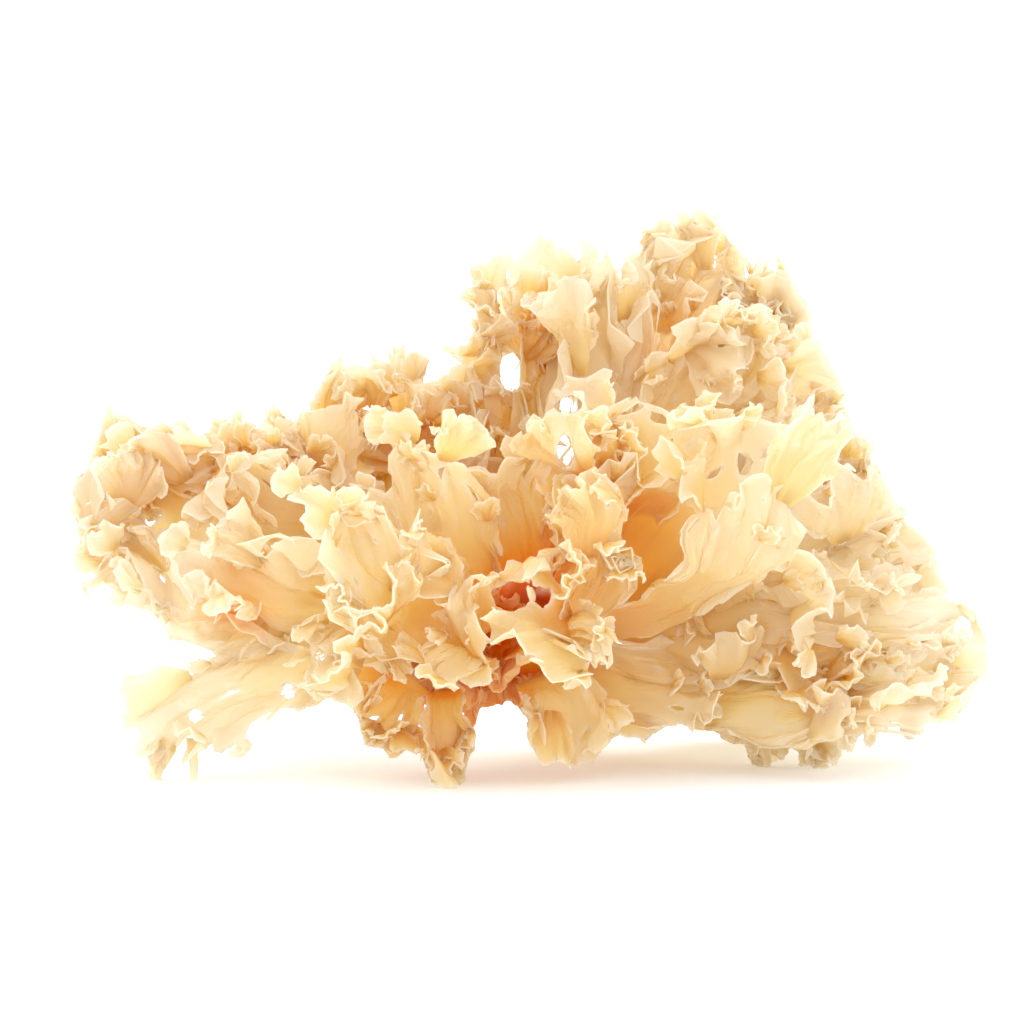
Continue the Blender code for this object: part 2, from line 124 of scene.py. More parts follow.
# The swells and creases of dried tissue: cell, height and how far they drag the sheet aside.
CREASES = ((13, 2.0, 2.0), (7, 1.5, 1.2), (4.2, 0.55, 0.5), (2.1, 0.1, 0))
SWELLS = 2
CREASE_SHIFT = 11.3
CREASE_LEVEL = 0.55
CREASE_DEPTH = 1.6
SLIP_SHIFT = 5.7
SLIDE_SHIFT = 3.1
CRUMPLE_RISE = 2.5
STREAK_CELL = (2.4, 14)
STREAK_HEIGHT = 0.1
STREAK_FADE = 0.6

# The torn edge's teeth, with their cells and depths, and how far in the rim and sides are torn.
TEETH = ((4.6, 1.1), (2.3, 0.9))
RIM_CUT = 0.7
RIM_FRAY = 1.15
SIDE_CUT = 0.4
SIDE_FRAY = 0.7
SIDE_WIDENING = 1.4
SIDE_LEAST = 0.15
SIDES_FROM = 0.25
# The small holes: their cell, how rare they are, and how many more there are towards the rim.
HOLE_CELL = 3.0
HOLE_SHIFT = 5
HOLE_LEVEL = 1.12
HOLE_DEPTH = 1.5
HOLES_BY_RIM = 0.75
HOLES_FROM = 0.45
HOLE_SLOPE = 3
# Where a tear may cross an edge of the grid, so that it leaves no sliver.
CUT_SHARES = (0.06, 0.94)
ROOT_REACH = 0.2
FEWEST_TRIANGLES = 16
FLOOR_CLEARANCE = 0.08

# The shell: its thickness, the thicker lip along its tears, which bends are shaded smooth, and how
# it thins at a sharp fold.
RIM_THICKNESS = 0.12
MIDDLE_THICKNESS = 0.32
LIP_THICKENING = 0.05
LIP_WIDTH = 0.25
DEEPEST = 3
GENTLE_COSINE = 0.85
SHARP_COSINE = 0.1
COSINE_RANGE = 0.6
THINNEST_SHARE = 0.12

# Fronds that stand on a sheet, and smaller ones: spacing, length, grid, and spread from the rim.
FLAP_SPACING = 21.0
FLAP_LENGTH = (6.0, 11.0)
FLAP_GRID = (12, 36)
FLAP_SPREAD = 0.34
BROAD_FLAP_LENGTH = (9.5, 14.0)
SMOOTH_BELOW = 0.5
RIM_SPREAD = 0.16
LOBE_SPACING = 11.0
LOBE_LENGTH = (5.5, 9.5)
LOBE_GRID = (9, 30)
FRILL_SPACING = 2.6
FRILL_LENGTH = (2.2, 4.6)
FRILL_GRID = (5, 16)
FRILLS_ON_LOBE = 1
FRILLED_LENGTH = 25
LACY_LENGTH = 22.0
SPROUTS_FROM = 0.95
SPROUTS_TO = 0.3
SPROUT_MARGIN = 20
SPROUT_TILT = (-0.9, 0.9)
SPROUT_LEAN = (0.2, 1.1)
# A small frond: its spine's points along it and along its bow, and its measures for its length.
SMALL_SPINE = ((0, 0), (0.35, 0), (0.7, 0.4), (1, 1))
SMALL_BOW = (-0.5, 0.5)
SMALL_TURN = 0.5
SMALL_CUP = (0.15, 1)
SMALL_HALF_WIDTH = (0.45, 0.85)
SMALL_SPREAD = (45, 80)
SMALL_WAVES = (2.0, 3.1)
SMALL_RUFFLE = 0.19
SMALL_ROOT = 0.12
SMALL_BILLOW = 0.03
SMALL_CRUMPLE = 0.05

# Thin strips that a frond stands on: where each starts and ends.
LEGS = {
    "lower_left": (
        ((-42.4, -13.7, 5.0), (-42.7, -12.3, 0)), ((-38.7, -12.2, 5.0), (-38.6, -12.9, 0))),
    "right_foot": (((29.1, -1.0, 3.4), (29.4, 1.2, 0)), ((34.1, 1.9, 3.4), (34.3, 2.8, 0))),
}
LEG_HALF_WIDTH = 0.65
LEG_GRID = (12, 8)
LEG_KNEE = 0.3
LEG_BEND = (0.4, 0, 0)
LEG_LACE = 0.1
LEG_SEED = 300

# The light from all round: where it is strongest, how strong, and how far round that reaches.
LIGHT_TOWARD = (-0.15, 0.6, 0.8)
LEAST_LIGHT = 1.2
MOST_LIGHT = 2.0
LIGHT_REACH = -0.4
FLOOR_GLOW = 0.2
FLOOR_SIZE = 4
FLOOR_COLOUR = (0.86, 0.95, 1.0, 1)
# The camera's place in the frame, in metres, its lens, its tilt, and what softens the contrast.
CAMERA_PLACE = (-0.00315, -0.41515, 0.0453)
CAMERA_LENS = 120.0
CAMERA_TILT = 88
VIEW_GAMMA = 1.2
LIGHT_BOUNCES = 20

# How far from the clump's heart the tissue is pale; amber towards its heart, partly its own colour and
# partly painted shade; painted shade where it is crowded; amber with painted shade at each sheet's root;
# and the painted highlight along its torn rim.
HEART_OF_CLUMP = (2.0, -16.0, 23.0)
PALE_AT = 46.0
CROWD_FROM = 0.5
NEAR_AMBER_AND_SHADE = 0.55
CROWD_SHADE = 0.65
ROOT_AMBER_AND_SHADE = 0.5
ROOT_FADE = 1.5
RIM_HIGHLIGHT = 0.85
RIM_HIGHLIGHT_WIDTH = 0.42
# The tissue's colours from pale to amber with painted shade, what the core's red-brown and the painted
# shade in recesses multiply them by, and the painted highlight's colour along its rim.
AMBER_AND_SHADE_COLOURS = ((0.0, (0.96, 0.89, 0.765)), (0.3, (0.955, 0.86, 0.62)), (0.6, (0.945, 0.79, 0.39)),
        (1.0, (0.95, 0.62, 0.14)))
CORE_BROWN_AND_SHADE_COLOURS = ((0.0, (1, 1, 1)), (0.3, (1.0, 0.76, 0.33)), (0.6, (0.98, 0.42, 0.04)),
         (1.0, (0.62, 0.12, 0.005)))
RIM_HIGHLIGHT_COLOUR = (0.985, 0.955, 0.86, 1)
# The base's dark and lighter patches, and its lobes' rims.
BASE_PATCHES = ((0.35, (0.80, 0.13, 0.002)), (0.7, (1.0, 0.42, 0.01)))
BASE_PATCH_SCALE = 260.0
BASE_PALE = (0.97, 0.72, 0.33, 1)

# The clump's outline as the viewer sees it: about where the eye is, and how high and how low
# tissue reaches across the plane y = 0.
EYE = np.array([-1.3, -409.8, 45.3])
TOP_OUTLINE = (
    (-56, 30), (-52.2, 35), (-50.3, 41.5), (-49.3, 45), (-47.8, 43), (-46, 40.5), (-42.6, 39.6), (-41, 42),
    (-38.8, 40.8), (-28, 41.4), (-25.3, 44), (-21.5, 49.5), (-15.7, 52.5), (-11.9, 50.5), (-9.9, 51),
    (-8, 57), (-4.5, 59.3), (-2.3, 61.3), (9.3, 62), (15.3, 63.3), (17, 65.5), (20, 67), (22.7, 66),
    (24.9, 62), (29.7, 61), (31.5, 58.3), (33.9, 55.7), (35.1, 50.5), (38.1, 45.7), (39.5, 40), (42.5, 36),
    (46, 29.5), (49, 25), (52, 21), (55, 16), (57, 11),
)
LOW_OUTLINE = (
    (-56, 27), (-52.2, 20.4), (-48.6, 19.7), (-48.3, 4.6), (-46.5, 3.6), (-45.1, 2.9), (-44.6, -6),
    (-43.4, -6), (-42.9, 3.2), (-41.2, 3.0), (-40.7, -6), (-39.3, -6), (-38.6, 1.2), (-36.9, 1.0),
    (-34.9, 3.2), (-33.3, 3.0), (-31.3, 6.3), (-26.8, 7.8), (-25.3, 8.9), (-21.4, 8.7), (-19.8, 5.4),
    (-17.8, 2.4), (-13.6, 3), (-11.8, 1.8), (-9.9, -2.5), (-7.3, -2.5), (-6.8, 1.2), (-5.9, 3.4),
    (-5.5, 7), (-2.1, 9.6), (-0.3, 8.1), (0.9, 3.4), (3.5, 2.4), (6.3, 0), (8.3, 1.8), (11.2, 4.2),
    (14.7, 5.7), (21.3, 4.1), (27.2, 3.4), (28.6, -6), (30.2, -6), (31.2, 2.4), (33, 2.6), (33.8, -6),
    (35, -6), (35.6, 2), (36.6, -2.5), (37.6, -1), (38, 3.5), (39.3, 3.7), (42.9, 4.5), (48.3, 5.8),
    (51.6, 7.1), (54, 9.4), (57, 13),
)
# Gaps that the viewer sees through: middle across and up, half width and half height.
GAPS = (
    (-1.5, 47.8, 1.3, 2.4), (5.5, 43.9, 1.5, 1.0), (5.1, 38.4, 1.1, 2.1), (-37.9, 13.7, 1.1, 0.8),
    (-44.2, 5.4, 0.7, 0.8), (-39.4, 6.5, 0.8, 0.9), (-24.4, 13.7, 0.8, 0.8), (-28.2, 9.4, 1.0, 1.0),
    (-47.0, 15.5, 4.2, 4.2), (-42.0, 14.0, 4.5, 1.5),
)
# Pockets: the same, their depth, and whether they are cut in front of it (1), which shows the dark
# heart, or behind it (-1), which lets light through.
POCKETS = (
    (0.2, 21.3, 3.2, 1.8, -9, 1), (-9.0, 45.5, 4.0, 4.2, 12, -1), (-21, 41.5, 4.0, 3.0, 16, -1),
    (13, 50, 3.5, 3.5, 14, -1),
)
# How ragged the tissue is at these lines: cells and depths, in the tissue and in the view.
TISSUE_ROUGHNESS = ((4.3, 0.9), (1.9, 0.6))
VIEW_ROUGHNESS = ((4.1, 1.9), (1.9, 1.5))
ROUGH_SEED = 5
GAP_ROUGHNESS = 0.12
POCKET_ROUGHNESS = 0.7
# How far tissue may pass these lines, and the solids' box on each axis.
TOP_ROOM = 0.8
LOW_ROOM = 0.5
BOX_SLACK = (3.0, 1.6, 1.8)

# How crowded the tissue is, which sets the painted shade there: grid cell, smoothing, and how far off a
# face looks.
CROWD_CELL = 2.0
CROWD_BLURS = 5
CROWD_MARGIN = 12.0
CROWD_PERCENTILE = 97
CROWD_LEAST = 0.5
CROWD_LOOK = 3.0

# The base: its place and size, its lumps and folds with their cells and heights, and its small
# lobes, which mostly point down.
BASE_CENTRE = np.array([-4.5, 1.0, 16.5])
BASE_RADII = np.array([10.5, 7.0, 6.2])
BASE_DETAIL = 5
BASE_SEED = 7
BASE_LUMP_CELL = 6.0
BASE_LUMP_HEIGHT = 0.14
BASE_FOLDS = ((3.2, 1.3), (1.3, 0.6))
BASE_FOLD_HEIGHT = 1.3
BASE_LOBES = 110
BASE_LOBE_SEED = 77
BASE_LOBE_DEPTH = 0.85
BASE_LOBE_LACE = 0.4
BASE_LOBE_LENGTH = (3.5, 7.0)
BASE_LOBES_TOWARD = (-0.1, -0.1, -0.7)
# Red-brown most of all round the core, partly the base's own colour, and painted shade in recesses: centre,
# reach and how much, up to 1.
CORE_BROWN_AND_SHADE_SPOTS = (
    ((0.3, -7, 21.5), 11.0, 0.85),
    ((-16.0, -9, 13.8), 5.5, 0.7),
    ((-9.4, -8, 11.0), 4.0, 0.8),
    ((-1, -10, 9.5), 4.0, 0.5),
    ((14.0, -8, 31.0), 11.0, 0.48),
    ((-33.5, -14, 23.5), 7.5, 0.55),
    ((20.0, 5, 50.0), 9.0, 0.25),
)

# How many frills stand on a frond for its size, and how torn its rim is.
SMOOTH = dict(frills=0.3, lace=0.7)
PLAIN = dict(frills=0.4, lace=0.8)
LACY = dict(frills=1.1, lace=1.1)
FRILLY = dict(frills=1.4, lace=1.1)


def frond(spine, half, spread, face, ruffle, seed, cup=0.5, waves=3, frills=1.0, lace=1.0):
    """One frond: its spine from the root to the tip, half its width, how far round it spreads
    in degrees, where its front looks, how much it ruffles and cups, and its frills and lace."""
    return dict(spine=spine, half=half, spread=spread, face=face, cup=cup, waves=waves,
                ruffle=ruffle, seed=seed, frills=frills, lace=lace)


FRONDS = {
    "left": frond([(-15.5, -0.5, 18.5), (-27.5, -8, 24.5), (-39.5, -12, 30), (-55, -6, 31)],
        half=15, spread=66, face=(0.1, -1, 0.2), waves=3.5, ruffle=3, seed=11, frills=1.3, lace=1.15),
    "upper_left": frond([(-15.5, 2, 20), (-28, 2, 27.5), (-39.5, 2, 35.5), (-49, -2, 43)],
        half=8, spread=50, face=(0.3, -1, 0.7), cup=-0.6, ruffle=2.4, seed=12, frills=1.3, lace=1.15),
    "inner_left": frond([(-15, -3.5, 18.5), (-27, -17, 21.5), (-33, -22, 23), (-38, -20, 26)],
        half=7, spread=66, face=(0, -1, -0.6), cup=-0.9, waves=2, ruffle=1.6, seed=13,
        frills=0.5, lace=0.9),
    "lower_left": frond([(-14.5, -4, 13.5), (-24.5, -12, 15), (-34, -15.5, 10.5), (-42.5, -12, 0.5)],
        half=7, spread=42, face=(-0.2, -1, -0.2), cup=0.4, waves=2.5, ruffle=1.8, seed=21,
        frills=0.45, lace=1.1),
    "left_underside": frond([(-14, -1.5, 12), (-20, -1.5, 13), (-25, -0.5, 11.5), (-28, 1, 7)],
        half=4, spread=52, face=(-0.2, -1, 0.2), waves=2, ruffle=1.2, seed=22, frills=0.5, lace=0.9),
    "front_left_tall": frond([(-9, -5.5, 19), (-8.5, -16, 23.5), (-11, -20, 31), (-15, -17, 41.5)],
        half=8.5, spread=52, face=(-0.2, -1, 0.1), waves=2.5, ruffle=2, seed=31, **PLAIN),
    "front_left": frond([(-8, -8.5, 17), (-12.5, -24, 19), (-16, -32, 25), (-20.5, -29, 34)],
        half=9, spread=56, face=(-0.1, -1, 0.3), cup=0.8, waves=2.5, ruffle=2, seed=32, **PLAIN),
    "front_left_low": frond([(-11.5, -7, 16.5), (-14, -20, 19.5), (-19.5, -24, 18.5), (-24, -20, 14)],
        half=6, spread=60, face=(0, -1, 0.5), cup=-0.7, waves=2, ruffle=1.5, seed=33, **PLAIN),
    "left_ridge": frond([(-11, 1.5, 24), (-18.5, 7, 28.5), (-23, 11, 38.5), (-27.5, 12, 44)],
        half=10, spread=60, face=(0.1, -0.6, 0.7), cup=0.4, ruffle=2.4, seed=41, **FRILLY),
    "left_peak": frond([(-7.5, 4, 24.5), (-14, 10, 31), (-15, 13, 40.5), (-16.5, 14, 50.5)],
        half=8.5, spread=55, face=(0, -1, 0.3), cup=-0.5, ruffle=2.4, seed=42, **FRILLY),
    "left_saddle": frond([(-12.5, -1.5, 23.5), (-22, 0, 26.5), (-28, -2, 32.5), (-33.5, -1, 39.5)],
        half=8.5, spread=62, face=(0.2, -1, 0.1), cup=0.6, ruffle=2.2, seed=43, **FRILLY),
    "crown": frond([(-4, 3, 24.5), (-2, 9, 29.5), (-1.5, 11, 42), (-1.5, 11, 60.5)],
        half=8, spread=48, face=(0, -1, 0.2), ruffle=2.4, seed=51, **LACY),
    "crown_right": frond([(-0.5, 6, 24), (2, 12, 32), (4, 15, 42), (5, 17, 60)],
        half=4.8, spread=32, face=(0.3, -1, 0), cup=0.7, waves=1.5, ruffle=1.4, seed=52,
        frills=0.8, lace=1.0),
    "crown_back": frond([(-6, 6, 24.5), (-6.5, 15, 30.5), (-7, 21, 44.5), (-8, 24, 55.5)],
        half=7, spread=52, face=(0, -1, 0.5), cup=-0.4, waves=2.5, ruffle=2.2, seed=53, **LACY),
    "crest_left": frond([(2, 1.5, 24), (8, 3, 32.5), (10, 1, 47), (11, 3, 61.5)],
        half=7.5, spread=42, face=(0, -1, 0), cup=0.3, waves=1.5, ruffle=1.2, seed=61,
        frills=0.4, lace=0.7),
    "crest": frond([(3.5, 2.5, 23.5), (14, 9, 34.5), (18, 10, 52), (20.5, 10, 67.5)],
        half=9, spread=48, face=(0.1, -1, 0.2), cup=0.6, waves=2.5, ruffle=2.2, seed=62,
        frills=0.7, lace=1.0),
    "crest_right": frond([(6, 3.5, 22.5), (19.5, 12, 37), (26.5, 14, 50.5), (33.5, 14, 61)],
        half=9.5, spread=52, face=(0, -1, 0.3), cup=0.4, waves=3.5, ruffle=2.4, seed=63, **LACY),
    "crest_front": frond([(5.5, 0, 22), (16.5, -3, 37.5), (23.5, -6, 46), (28.5, -6, 53.5)],
        half=7.5, spread=56, face=(0, -1, 0.3), cup=0.6, ruffle=2, seed=64, frills=0.9, lace=1.0),
    "shelf": frond([(6, -4, 20.5), (13.5, -12, 27), (19, -20, 35.5), (20, -23, 44.5)],
        half=15, spread=66, face=(0, -1, -0.3), cup=0.4, waves=3.5, ruffle=2.2, seed=71,
        frills=0.45, lace=0.9),
    "shelf_side": frond([(7, -5, 17), (21.5, -20, 19.5), (24, -26, 26.5), (25.5, -26, 35.5)],
        half=6, spread=42, face=(0.2, -1, 0), cup=0.7, waves=1.5, ruffle=1.2, seed=72, **SMOOTH),
    "center": frond([(0, -6.5, 20.5), (1.5, -12, 24.5), (1, -14, 30.5), (-0.5, -12, 40.5)],
        half=7.5, spread=50, face=(0, -1, 0.1), waves=2.5, ruffle=1.8, seed=81, frills=0.6, lace=0.9),
    "center_right": frond([(2.5, -6.5, 20.5), (8.5, -17, 22.5), (8.5, -21, 29.5), (6.5, -20, 39)],
        half=6.5, spread=46, face=(-0.2, -1, 0), cup=0.6, waves=2, ruffle=1.4, seed=82, **SMOOTH),
    "center_low": frond([(3, -7, 18), (7.5, -21, 20.5), (11, -24, 25.5), (9, -23, 30)],
        half=4.5, spread=52, face=(0.4, -1, 0), cup=0.6, waves=1.5, ruffle=1.2, seed=83, **SMOOTH),
    "left_curl": frond([(-5.5, -8, 15), (-6, -24, 16), (-9.5, -27, 15.5), (-12.5, -25, 13.5)],
        half=4.5, spread=60, face=(0, -1, 0.6), cup=0.6, waves=2, ruffle=0.8, seed=91, **PLAIN),
    "upper_curl": frond([(-3.5, -8.5, 17.5), (-3.5, -24, 18.5), (-4.5, -27, 22), (-5.5, -26, 26)],
        half=5, spread=60, face=(0.1, -1, 0.2), cup=0.4, waves=2, ruffle=1.2, seed=92, **PLAIN),
    "right_curl": frond([(-1, -8, 15), (2.5, -24, 17.5), (6, -28, 20), (9, -27, 14.5)],
        half=4.5, spread=56, face=(0, -1, 0.5), cup=0.6, waves=2, ruffle=1, seed=93, **PLAIN),
    "front_foot": frond([(-9, -5.5, 10), (-10, -14, 9.5), (-9, -16, 5), (-7, -16, -1.5)],
        half=4, spread=34, face=(0, -1, 0), cup=0.6, waves=1.5, ruffle=1.2, seed=101, frills=3.0, lace=0.8),
    "front_foot_side": frond([(-11.5, -4.5, 10.5), (-14, -12, 11), (-16, -13, 8), (-17.5, -11, 3.5)],
        half=5, spread=48, face=(0, -1, 0), cup=0.3, waves=2, ruffle=1.2, seed=102, frills=3.5, lace=0.8),
    "hanging": frond([(1.5, -5, 11.5), (5, -13, 10.5), (5.5, -16, 8), (6, -15, 3)],
        half=7, spread=56, face=(0, -1, 0), cup=0.4, waves=2.5, ruffle=1.4, seed=111, **PLAIN),
    "bowl_lip": frond([(6, -3, 12.5), (11.5, -8, 12.5), (18.5, -11, 11), (26, -13, 10)],
        half=5.5, spread=64, face=(0, -1, 0.3), cup=0.6, waves=2.5, ruffle=1.4, seed=121, **SMOOTH),
    "bowl": frond([(7, -3, 14), (20, -6, 21), (30, -11, 21), (40, -11, 18.5)],
        half=9.5, spread=64, face=(0, -1, 0.1), ruffle=1.8, seed=124, **SMOOTH),
    "bowl_edge": frond([(7, -1.5, 12), (23.5, -7, 8), (34.5, -13, 7.5), (52, -13, 9)],
        half=5.2, spread=48, face=(0, -1, 0.4), cup=0.4, waves=1.5, ruffle=1.2, seed=136,
        frills=0.6, lace=0.9),
    "right": frond([(8, 0.5, 18), (26, 0, 25), (37, -1, 29), (47.5, 1, 33)],
        half=9.5, spread=58, face=(0, -1, 0.2), cup=0.4, ruffle=2.2, seed=131, frills=0.45, lace=0.9),
    "lower_right": frond([(8, 0, 15), (27, -6, 17), (39.5, -11, 17), (51, -9, 19.5)],
        half=8, spread=54, face=(0, -1, 0.3), ruffle=2, seed=132, frills=0.4, lace=0.9),
    "upper_right": frond([(6.5, 5, 22.5), (24.5, 16, 32), (34, 22, 40.5), (41.5, 23, 48)],
        half=11.5, spread=60, face=(0, -1, 0.2), waves=3.5, ruffle=2.6, seed=141, **LACY),
    "right_shoulder": frond([(8.5, 4, 19.5), (26.5, 9, 25.5), (40.5, 10, 30.5), (48.5, 11, 32)],
        half=9, spread=58, face=(0, -0.5, 0.8), cup=-0.4, ruffle=2.4, seed=142, **LACY),
    "far_right": frond([(7.5, 5.5, 17), (27, 17, 19.5), (43, 23, 21), (56.5, 22, 20.5)],
        half=10, spread=58, face=(0, 0.4, 1), waves=3.5, ruffle=2.4, seed=151, **LACY),
    "far_right_low": frond([(7, 5.5, 14), (26.5, 8, 14), (44, 9, 10.5), (59, 9, 11.5)],
        half=8, spread=50, face=(0, -1, 0.1), cup=-0.4, ruffle=2.2, seed=152, **LACY),
    "right_foot": frond([(6, 2, 11), (24, 3, 8), (33.5, 3, 6.5), (37, 2, -2.5)],
        half=5.5, spread=50, face=(0, -1, 0), cup=0.4, waves=2.5, ruffle=1.6, seed=161, **LACY),
    "back_left": frond([(-13.5, 6, 18), (-23, 20, 23), (-33.5, 28, 26.5), (-44, 29, 29.5)],
        half=12, spread=62, face=(0, 0.8, 0.8), waves=3.5, ruffle=2.8, seed=171),
    "back_left_low": frond([(-12.5, 6, 14.5), (-19, 20, 11), (-26, 26, 10.5), (-32.5, 28, 12.5)],
        half=7, spread=50, face=(0, 1, 0), cup=0.4, waves=2.5, ruffle=2, seed=172),
    "back_middle": frond([(-5, 8, 20.5), (-7.5, 24, 26.5), (-8.5, 34, 36.5), (-10, 38, 43.5)],
        half=12, spread=62, face=(0, 1, 0.6), waves=4, ruffle=2.8, seed=181),
    "back_crest": frond([(-1, 7.5, 21.5), (3, 17, 33), (8.5, 25, 45.5), (15, 30, 55.5)],
        half=11, spread=58, face=(0, 1, 0.4), cup=0.4, waves=3.5, ruffle=2.6, seed=182),
    "back_right": frond([(2.5, 8, 17), (13.5, 24, 24), (25.5, 33, 29), (36, 35, 34.5)],
        half=13, spread=62, face=(0, 0.8, 0.7), waves=4, ruffle=2.8, seed=191),
    "back_right_low": frond([(1.5, 8, 13.5), (11, 20, 9), (21.5, 29, 7), (33.5, 32, 7)],
        half=7, spread=52, face=(0, 1, 0), cup=0.4, ruffle=2.2, seed=192),
    "back_foot": frond([(-2.5, 6, 10), (3, 14, 8.5), (5.5, 19, 5), (5, 21, -2)],
        half=5, spread=45, face=(0, 1, 0), cup=0.4, waves=2, ruffle=1.4, seed=201),
}


def noise(points, seed):
    """Smooth noise of about -1 to 1 with one cell per unit, at points of shape (..., 2) or (..., 3)."""
    points = np.asarray(points, float)
    size = points.shape[-1]
    rng = np.random.default_rng(seed)
    shuffle = rng.permutation(NOISE_SLOPES)
    slopes = rng.normal(size=(NOISE_SLOPES, size))
    slopes /= np.linalg.norm(slopes, axis=1)[:, None]
    cell = np.floor(points).astype(int)
    inside = points - cell
    blend = inside ** 3 * (inside * (inside * 6 - 15) + 10)
    total = np.zeros(points.shape[:-1])
    for corner in range(2 ** size):
        step = np.array([(corner >> k) & 1 for k in range(size)])
        index = np.zeros(points.shape[:-1], int)
        for k in range(size):
            index = shuffle[(index + cell[..., k] + step[k]) % NOISE_SLOPES]
        share = np.prod(np.where(step, blend, 1 - blend), axis=-1)
        total += share * (slopes[index] * (inside - step)).sum(-1)
    return total * NOISE_GAIN


def layered(points, octaves, seed, first, total=0.0):
    """Octaves of noise, each with its cell and height, added to what there is."""
    for k, (cell, height) in enumerate(octaves, first):
        total = total + height * noise(points / cell, [seed, k])
    return total


def unit(vectors):
    return vectors / np.maximum(np.linalg.norm(vectors, axis=-1), TINY)[..., None]


def square_to(vectors, tangents):
    return unit(vectors - (vectors * tangents).sum(-1)[..., None] * tangents)


def bezier(points, t):
    """Places and directions along a cubic curve, which runs on straight past its ends."""
    points = np.asarray(points, float)
    held = np.clip(t, 0, 1)
    u = held[..., None]
    v = 1 - u
    place = v ** 3 * points[0] + 3 * v * v * u * points[1] + 3 * v * u * u * points[2] + u ** 3 * points[3]
    along = 3 * (v * v * (points[1] - points[0]) + 2 * v * u * (points[2] - points[1])
                 + u * u * (points[3] - points[2]))
    return place + along * (t - held)[..., None], along


def untwisted(spec, t, tangents):
    """Where the frond's front looks at each t: as asked at one place on the spine, and carried
    along it from there without twisting."""
    knots = np.linspace(0, 1, FACING_KNOTS)
    along = unit(bezier(spec["spine"], knots)[1])
    set_at = round(FACING_PLACE * (FACING_KNOTS - 1))
    looks = np.zeros((FACING_KNOTS, 3))
    looks[set_at] = square_to(np.array(spec["face"], float), along[set_at])
    for k in range(set_at + 1, FACING_KNOTS):
        looks[k] = square_to(looks[k - 1], along[k])
    for k in range(set_at - 1, -1, -1):
        looks[k] = square_to(looks[k + 1], along[k])
    held = np.clip(t, 0, 1)
    return square_to(np.stack([np.interp(held, knots, looks[:, k]) for k in range(3)], -1), tangents)


def frame_of(grid, front):
    """The grid's normal on its front side, its direction across and its direction outwards."""
    out, over = np.gradient(grid, axis=0), np.gradient(grid, axis=1)
    own = unit(np.cross(over, out))
    trust = np.clip((own * front).sum(-1), 0, 1)
    normal = unit(own * trust[..., None] + front * OWN_NORMAL_EASING)
    out = square_to(out, normal)
    return normal, np.cross(out, normal), out


def outline(across, seed, clefts, fine):
    """How far the frond reaches along each of its rays, about 1: a few broad lobes, fine ones
    and narrow clefts."""
    lobes = np.stack([across * OUTLINE_LOBES, np.full_like(across, OUTLINE_ROW)], -1)
    reach = 1 + OUTLINE_DEPTH * noise(lobes, [seed, 1])
    if fine:
        reach = reach + fine * noise(lobes * FINE_OUTLINE, [seed, 2])
    rng = np.random.default_rng([seed, 3])
    for _ in range(clefts):
        at, wide, deep = (rng.uniform(*span) for span in CLEFTS)
        reach = reach - deep * np.exp(-((across - at) / wide) ** 2)
    corner = np.clip(np.minimum(across, 1 - across) / CORNER_SHARE, 0, 1)
    return reach * (1 - CORNER_CUT * (1 - corner) ** 2)


def spread_out(spec, outward, across, reach, root):
    """The frond before it billows and ruffles: rays from its root, bent round like a shallow cup,
    and which way its front looks at each point."""
    half, spread, cup = spec["half"], math.radians(spec["spread"]), spec["cup"]
    theta = spread * (2 * across - 1)
    reach = outward * reach
    place, along = bezier(spec["spine"], reach * np.cos(theta))
    wide = (root * (1 - outward) + half * reach) * np.sin(theta) / math.sin(spread)
    tangent = unit(along)
    normal = untwisted(spec, reach * np.cos(theta), tangent)
    side = np.cross(tangent, normal)
    bend = cup * wide / half
    place = place + side * (half * np.sin(bend) / cup)[..., None]
    place = place + normal * (half * (1 - np.cos(bend)) / cup)[..., None]
    return place, normal * np.cos(bend)[..., None] - side * np.sin(bend)[..., None]


def billowed(place, front, outward, seed, height):
    """The sheet moved in and out by broad swells, which fade out at the root."""
    swell = noise(place / BILLOW_CELL + seed, [seed, 5]) * np.clip(outward * BILLOW_RISE, 0, 1)
    return place - front * (height * swell)[..., None]


def pleat(outward, across, waves, seed, octave):
    """How far along its cycle each point of a set of uneven pleats is, and how strong they are."""
    flat = np.stack([across * waves, outward], -1)
    wobble = RUFFLE_WOBBLE + octave * FINE_WOBBLE
    phase = waves * across + wobble * noise(flat * WOBBLE_CELLS, [seed, 10 + octave])
    if octave:
        skew = PLEAT_SKEW * np.random.default_rng([seed, 15 + octave]).uniform(-1, 1)
        phase = phase + waves * skew * (outward - 1)
    strength = RUFFLE_LEVEL + RUFFLE_UNEVENNESS * noise(flat * UNEVENNESS_CELLS, [seed, 20 + octave])
    return 2 * math.pi * phase, strength


def ruffled(place, front, outward, across, spec, arc):
    """The sheet with its pleats, and smaller ones towards the rim, some folded over."""
    for octave, (count, share, rise) in enumerate(PLEATS):
        waves = spec["waves"] * count
        if waves * SPOKES_PER_FINE_WAVE > outward.shape[1]:
            break
        phase, strength = pleat(outward, across, waves, spec["seed"], octave)
        normal, over, _ = frame_of(place, front)
        if not octave:
            normal = front
        height = spec["ruffle"] * share * outward ** (RUFFLE_RISE + rise) * strength
        if octave > 1:
            height = height * spec["lace"]
        slide = FOLD_OVER * arc / (2 * math.pi * waves) * outward ** (RUFFLE_RISE + rise + FOLD_RISE)
        slide = slide * np.clip(np.abs(height) * waves / (FULL_FOLD * arc), 0, 1)
        place = place - normal * (height * np.sin(phase))[..., None]
        place = place - over * (slide * np.sin(2 * phase))[..., None]
    return place


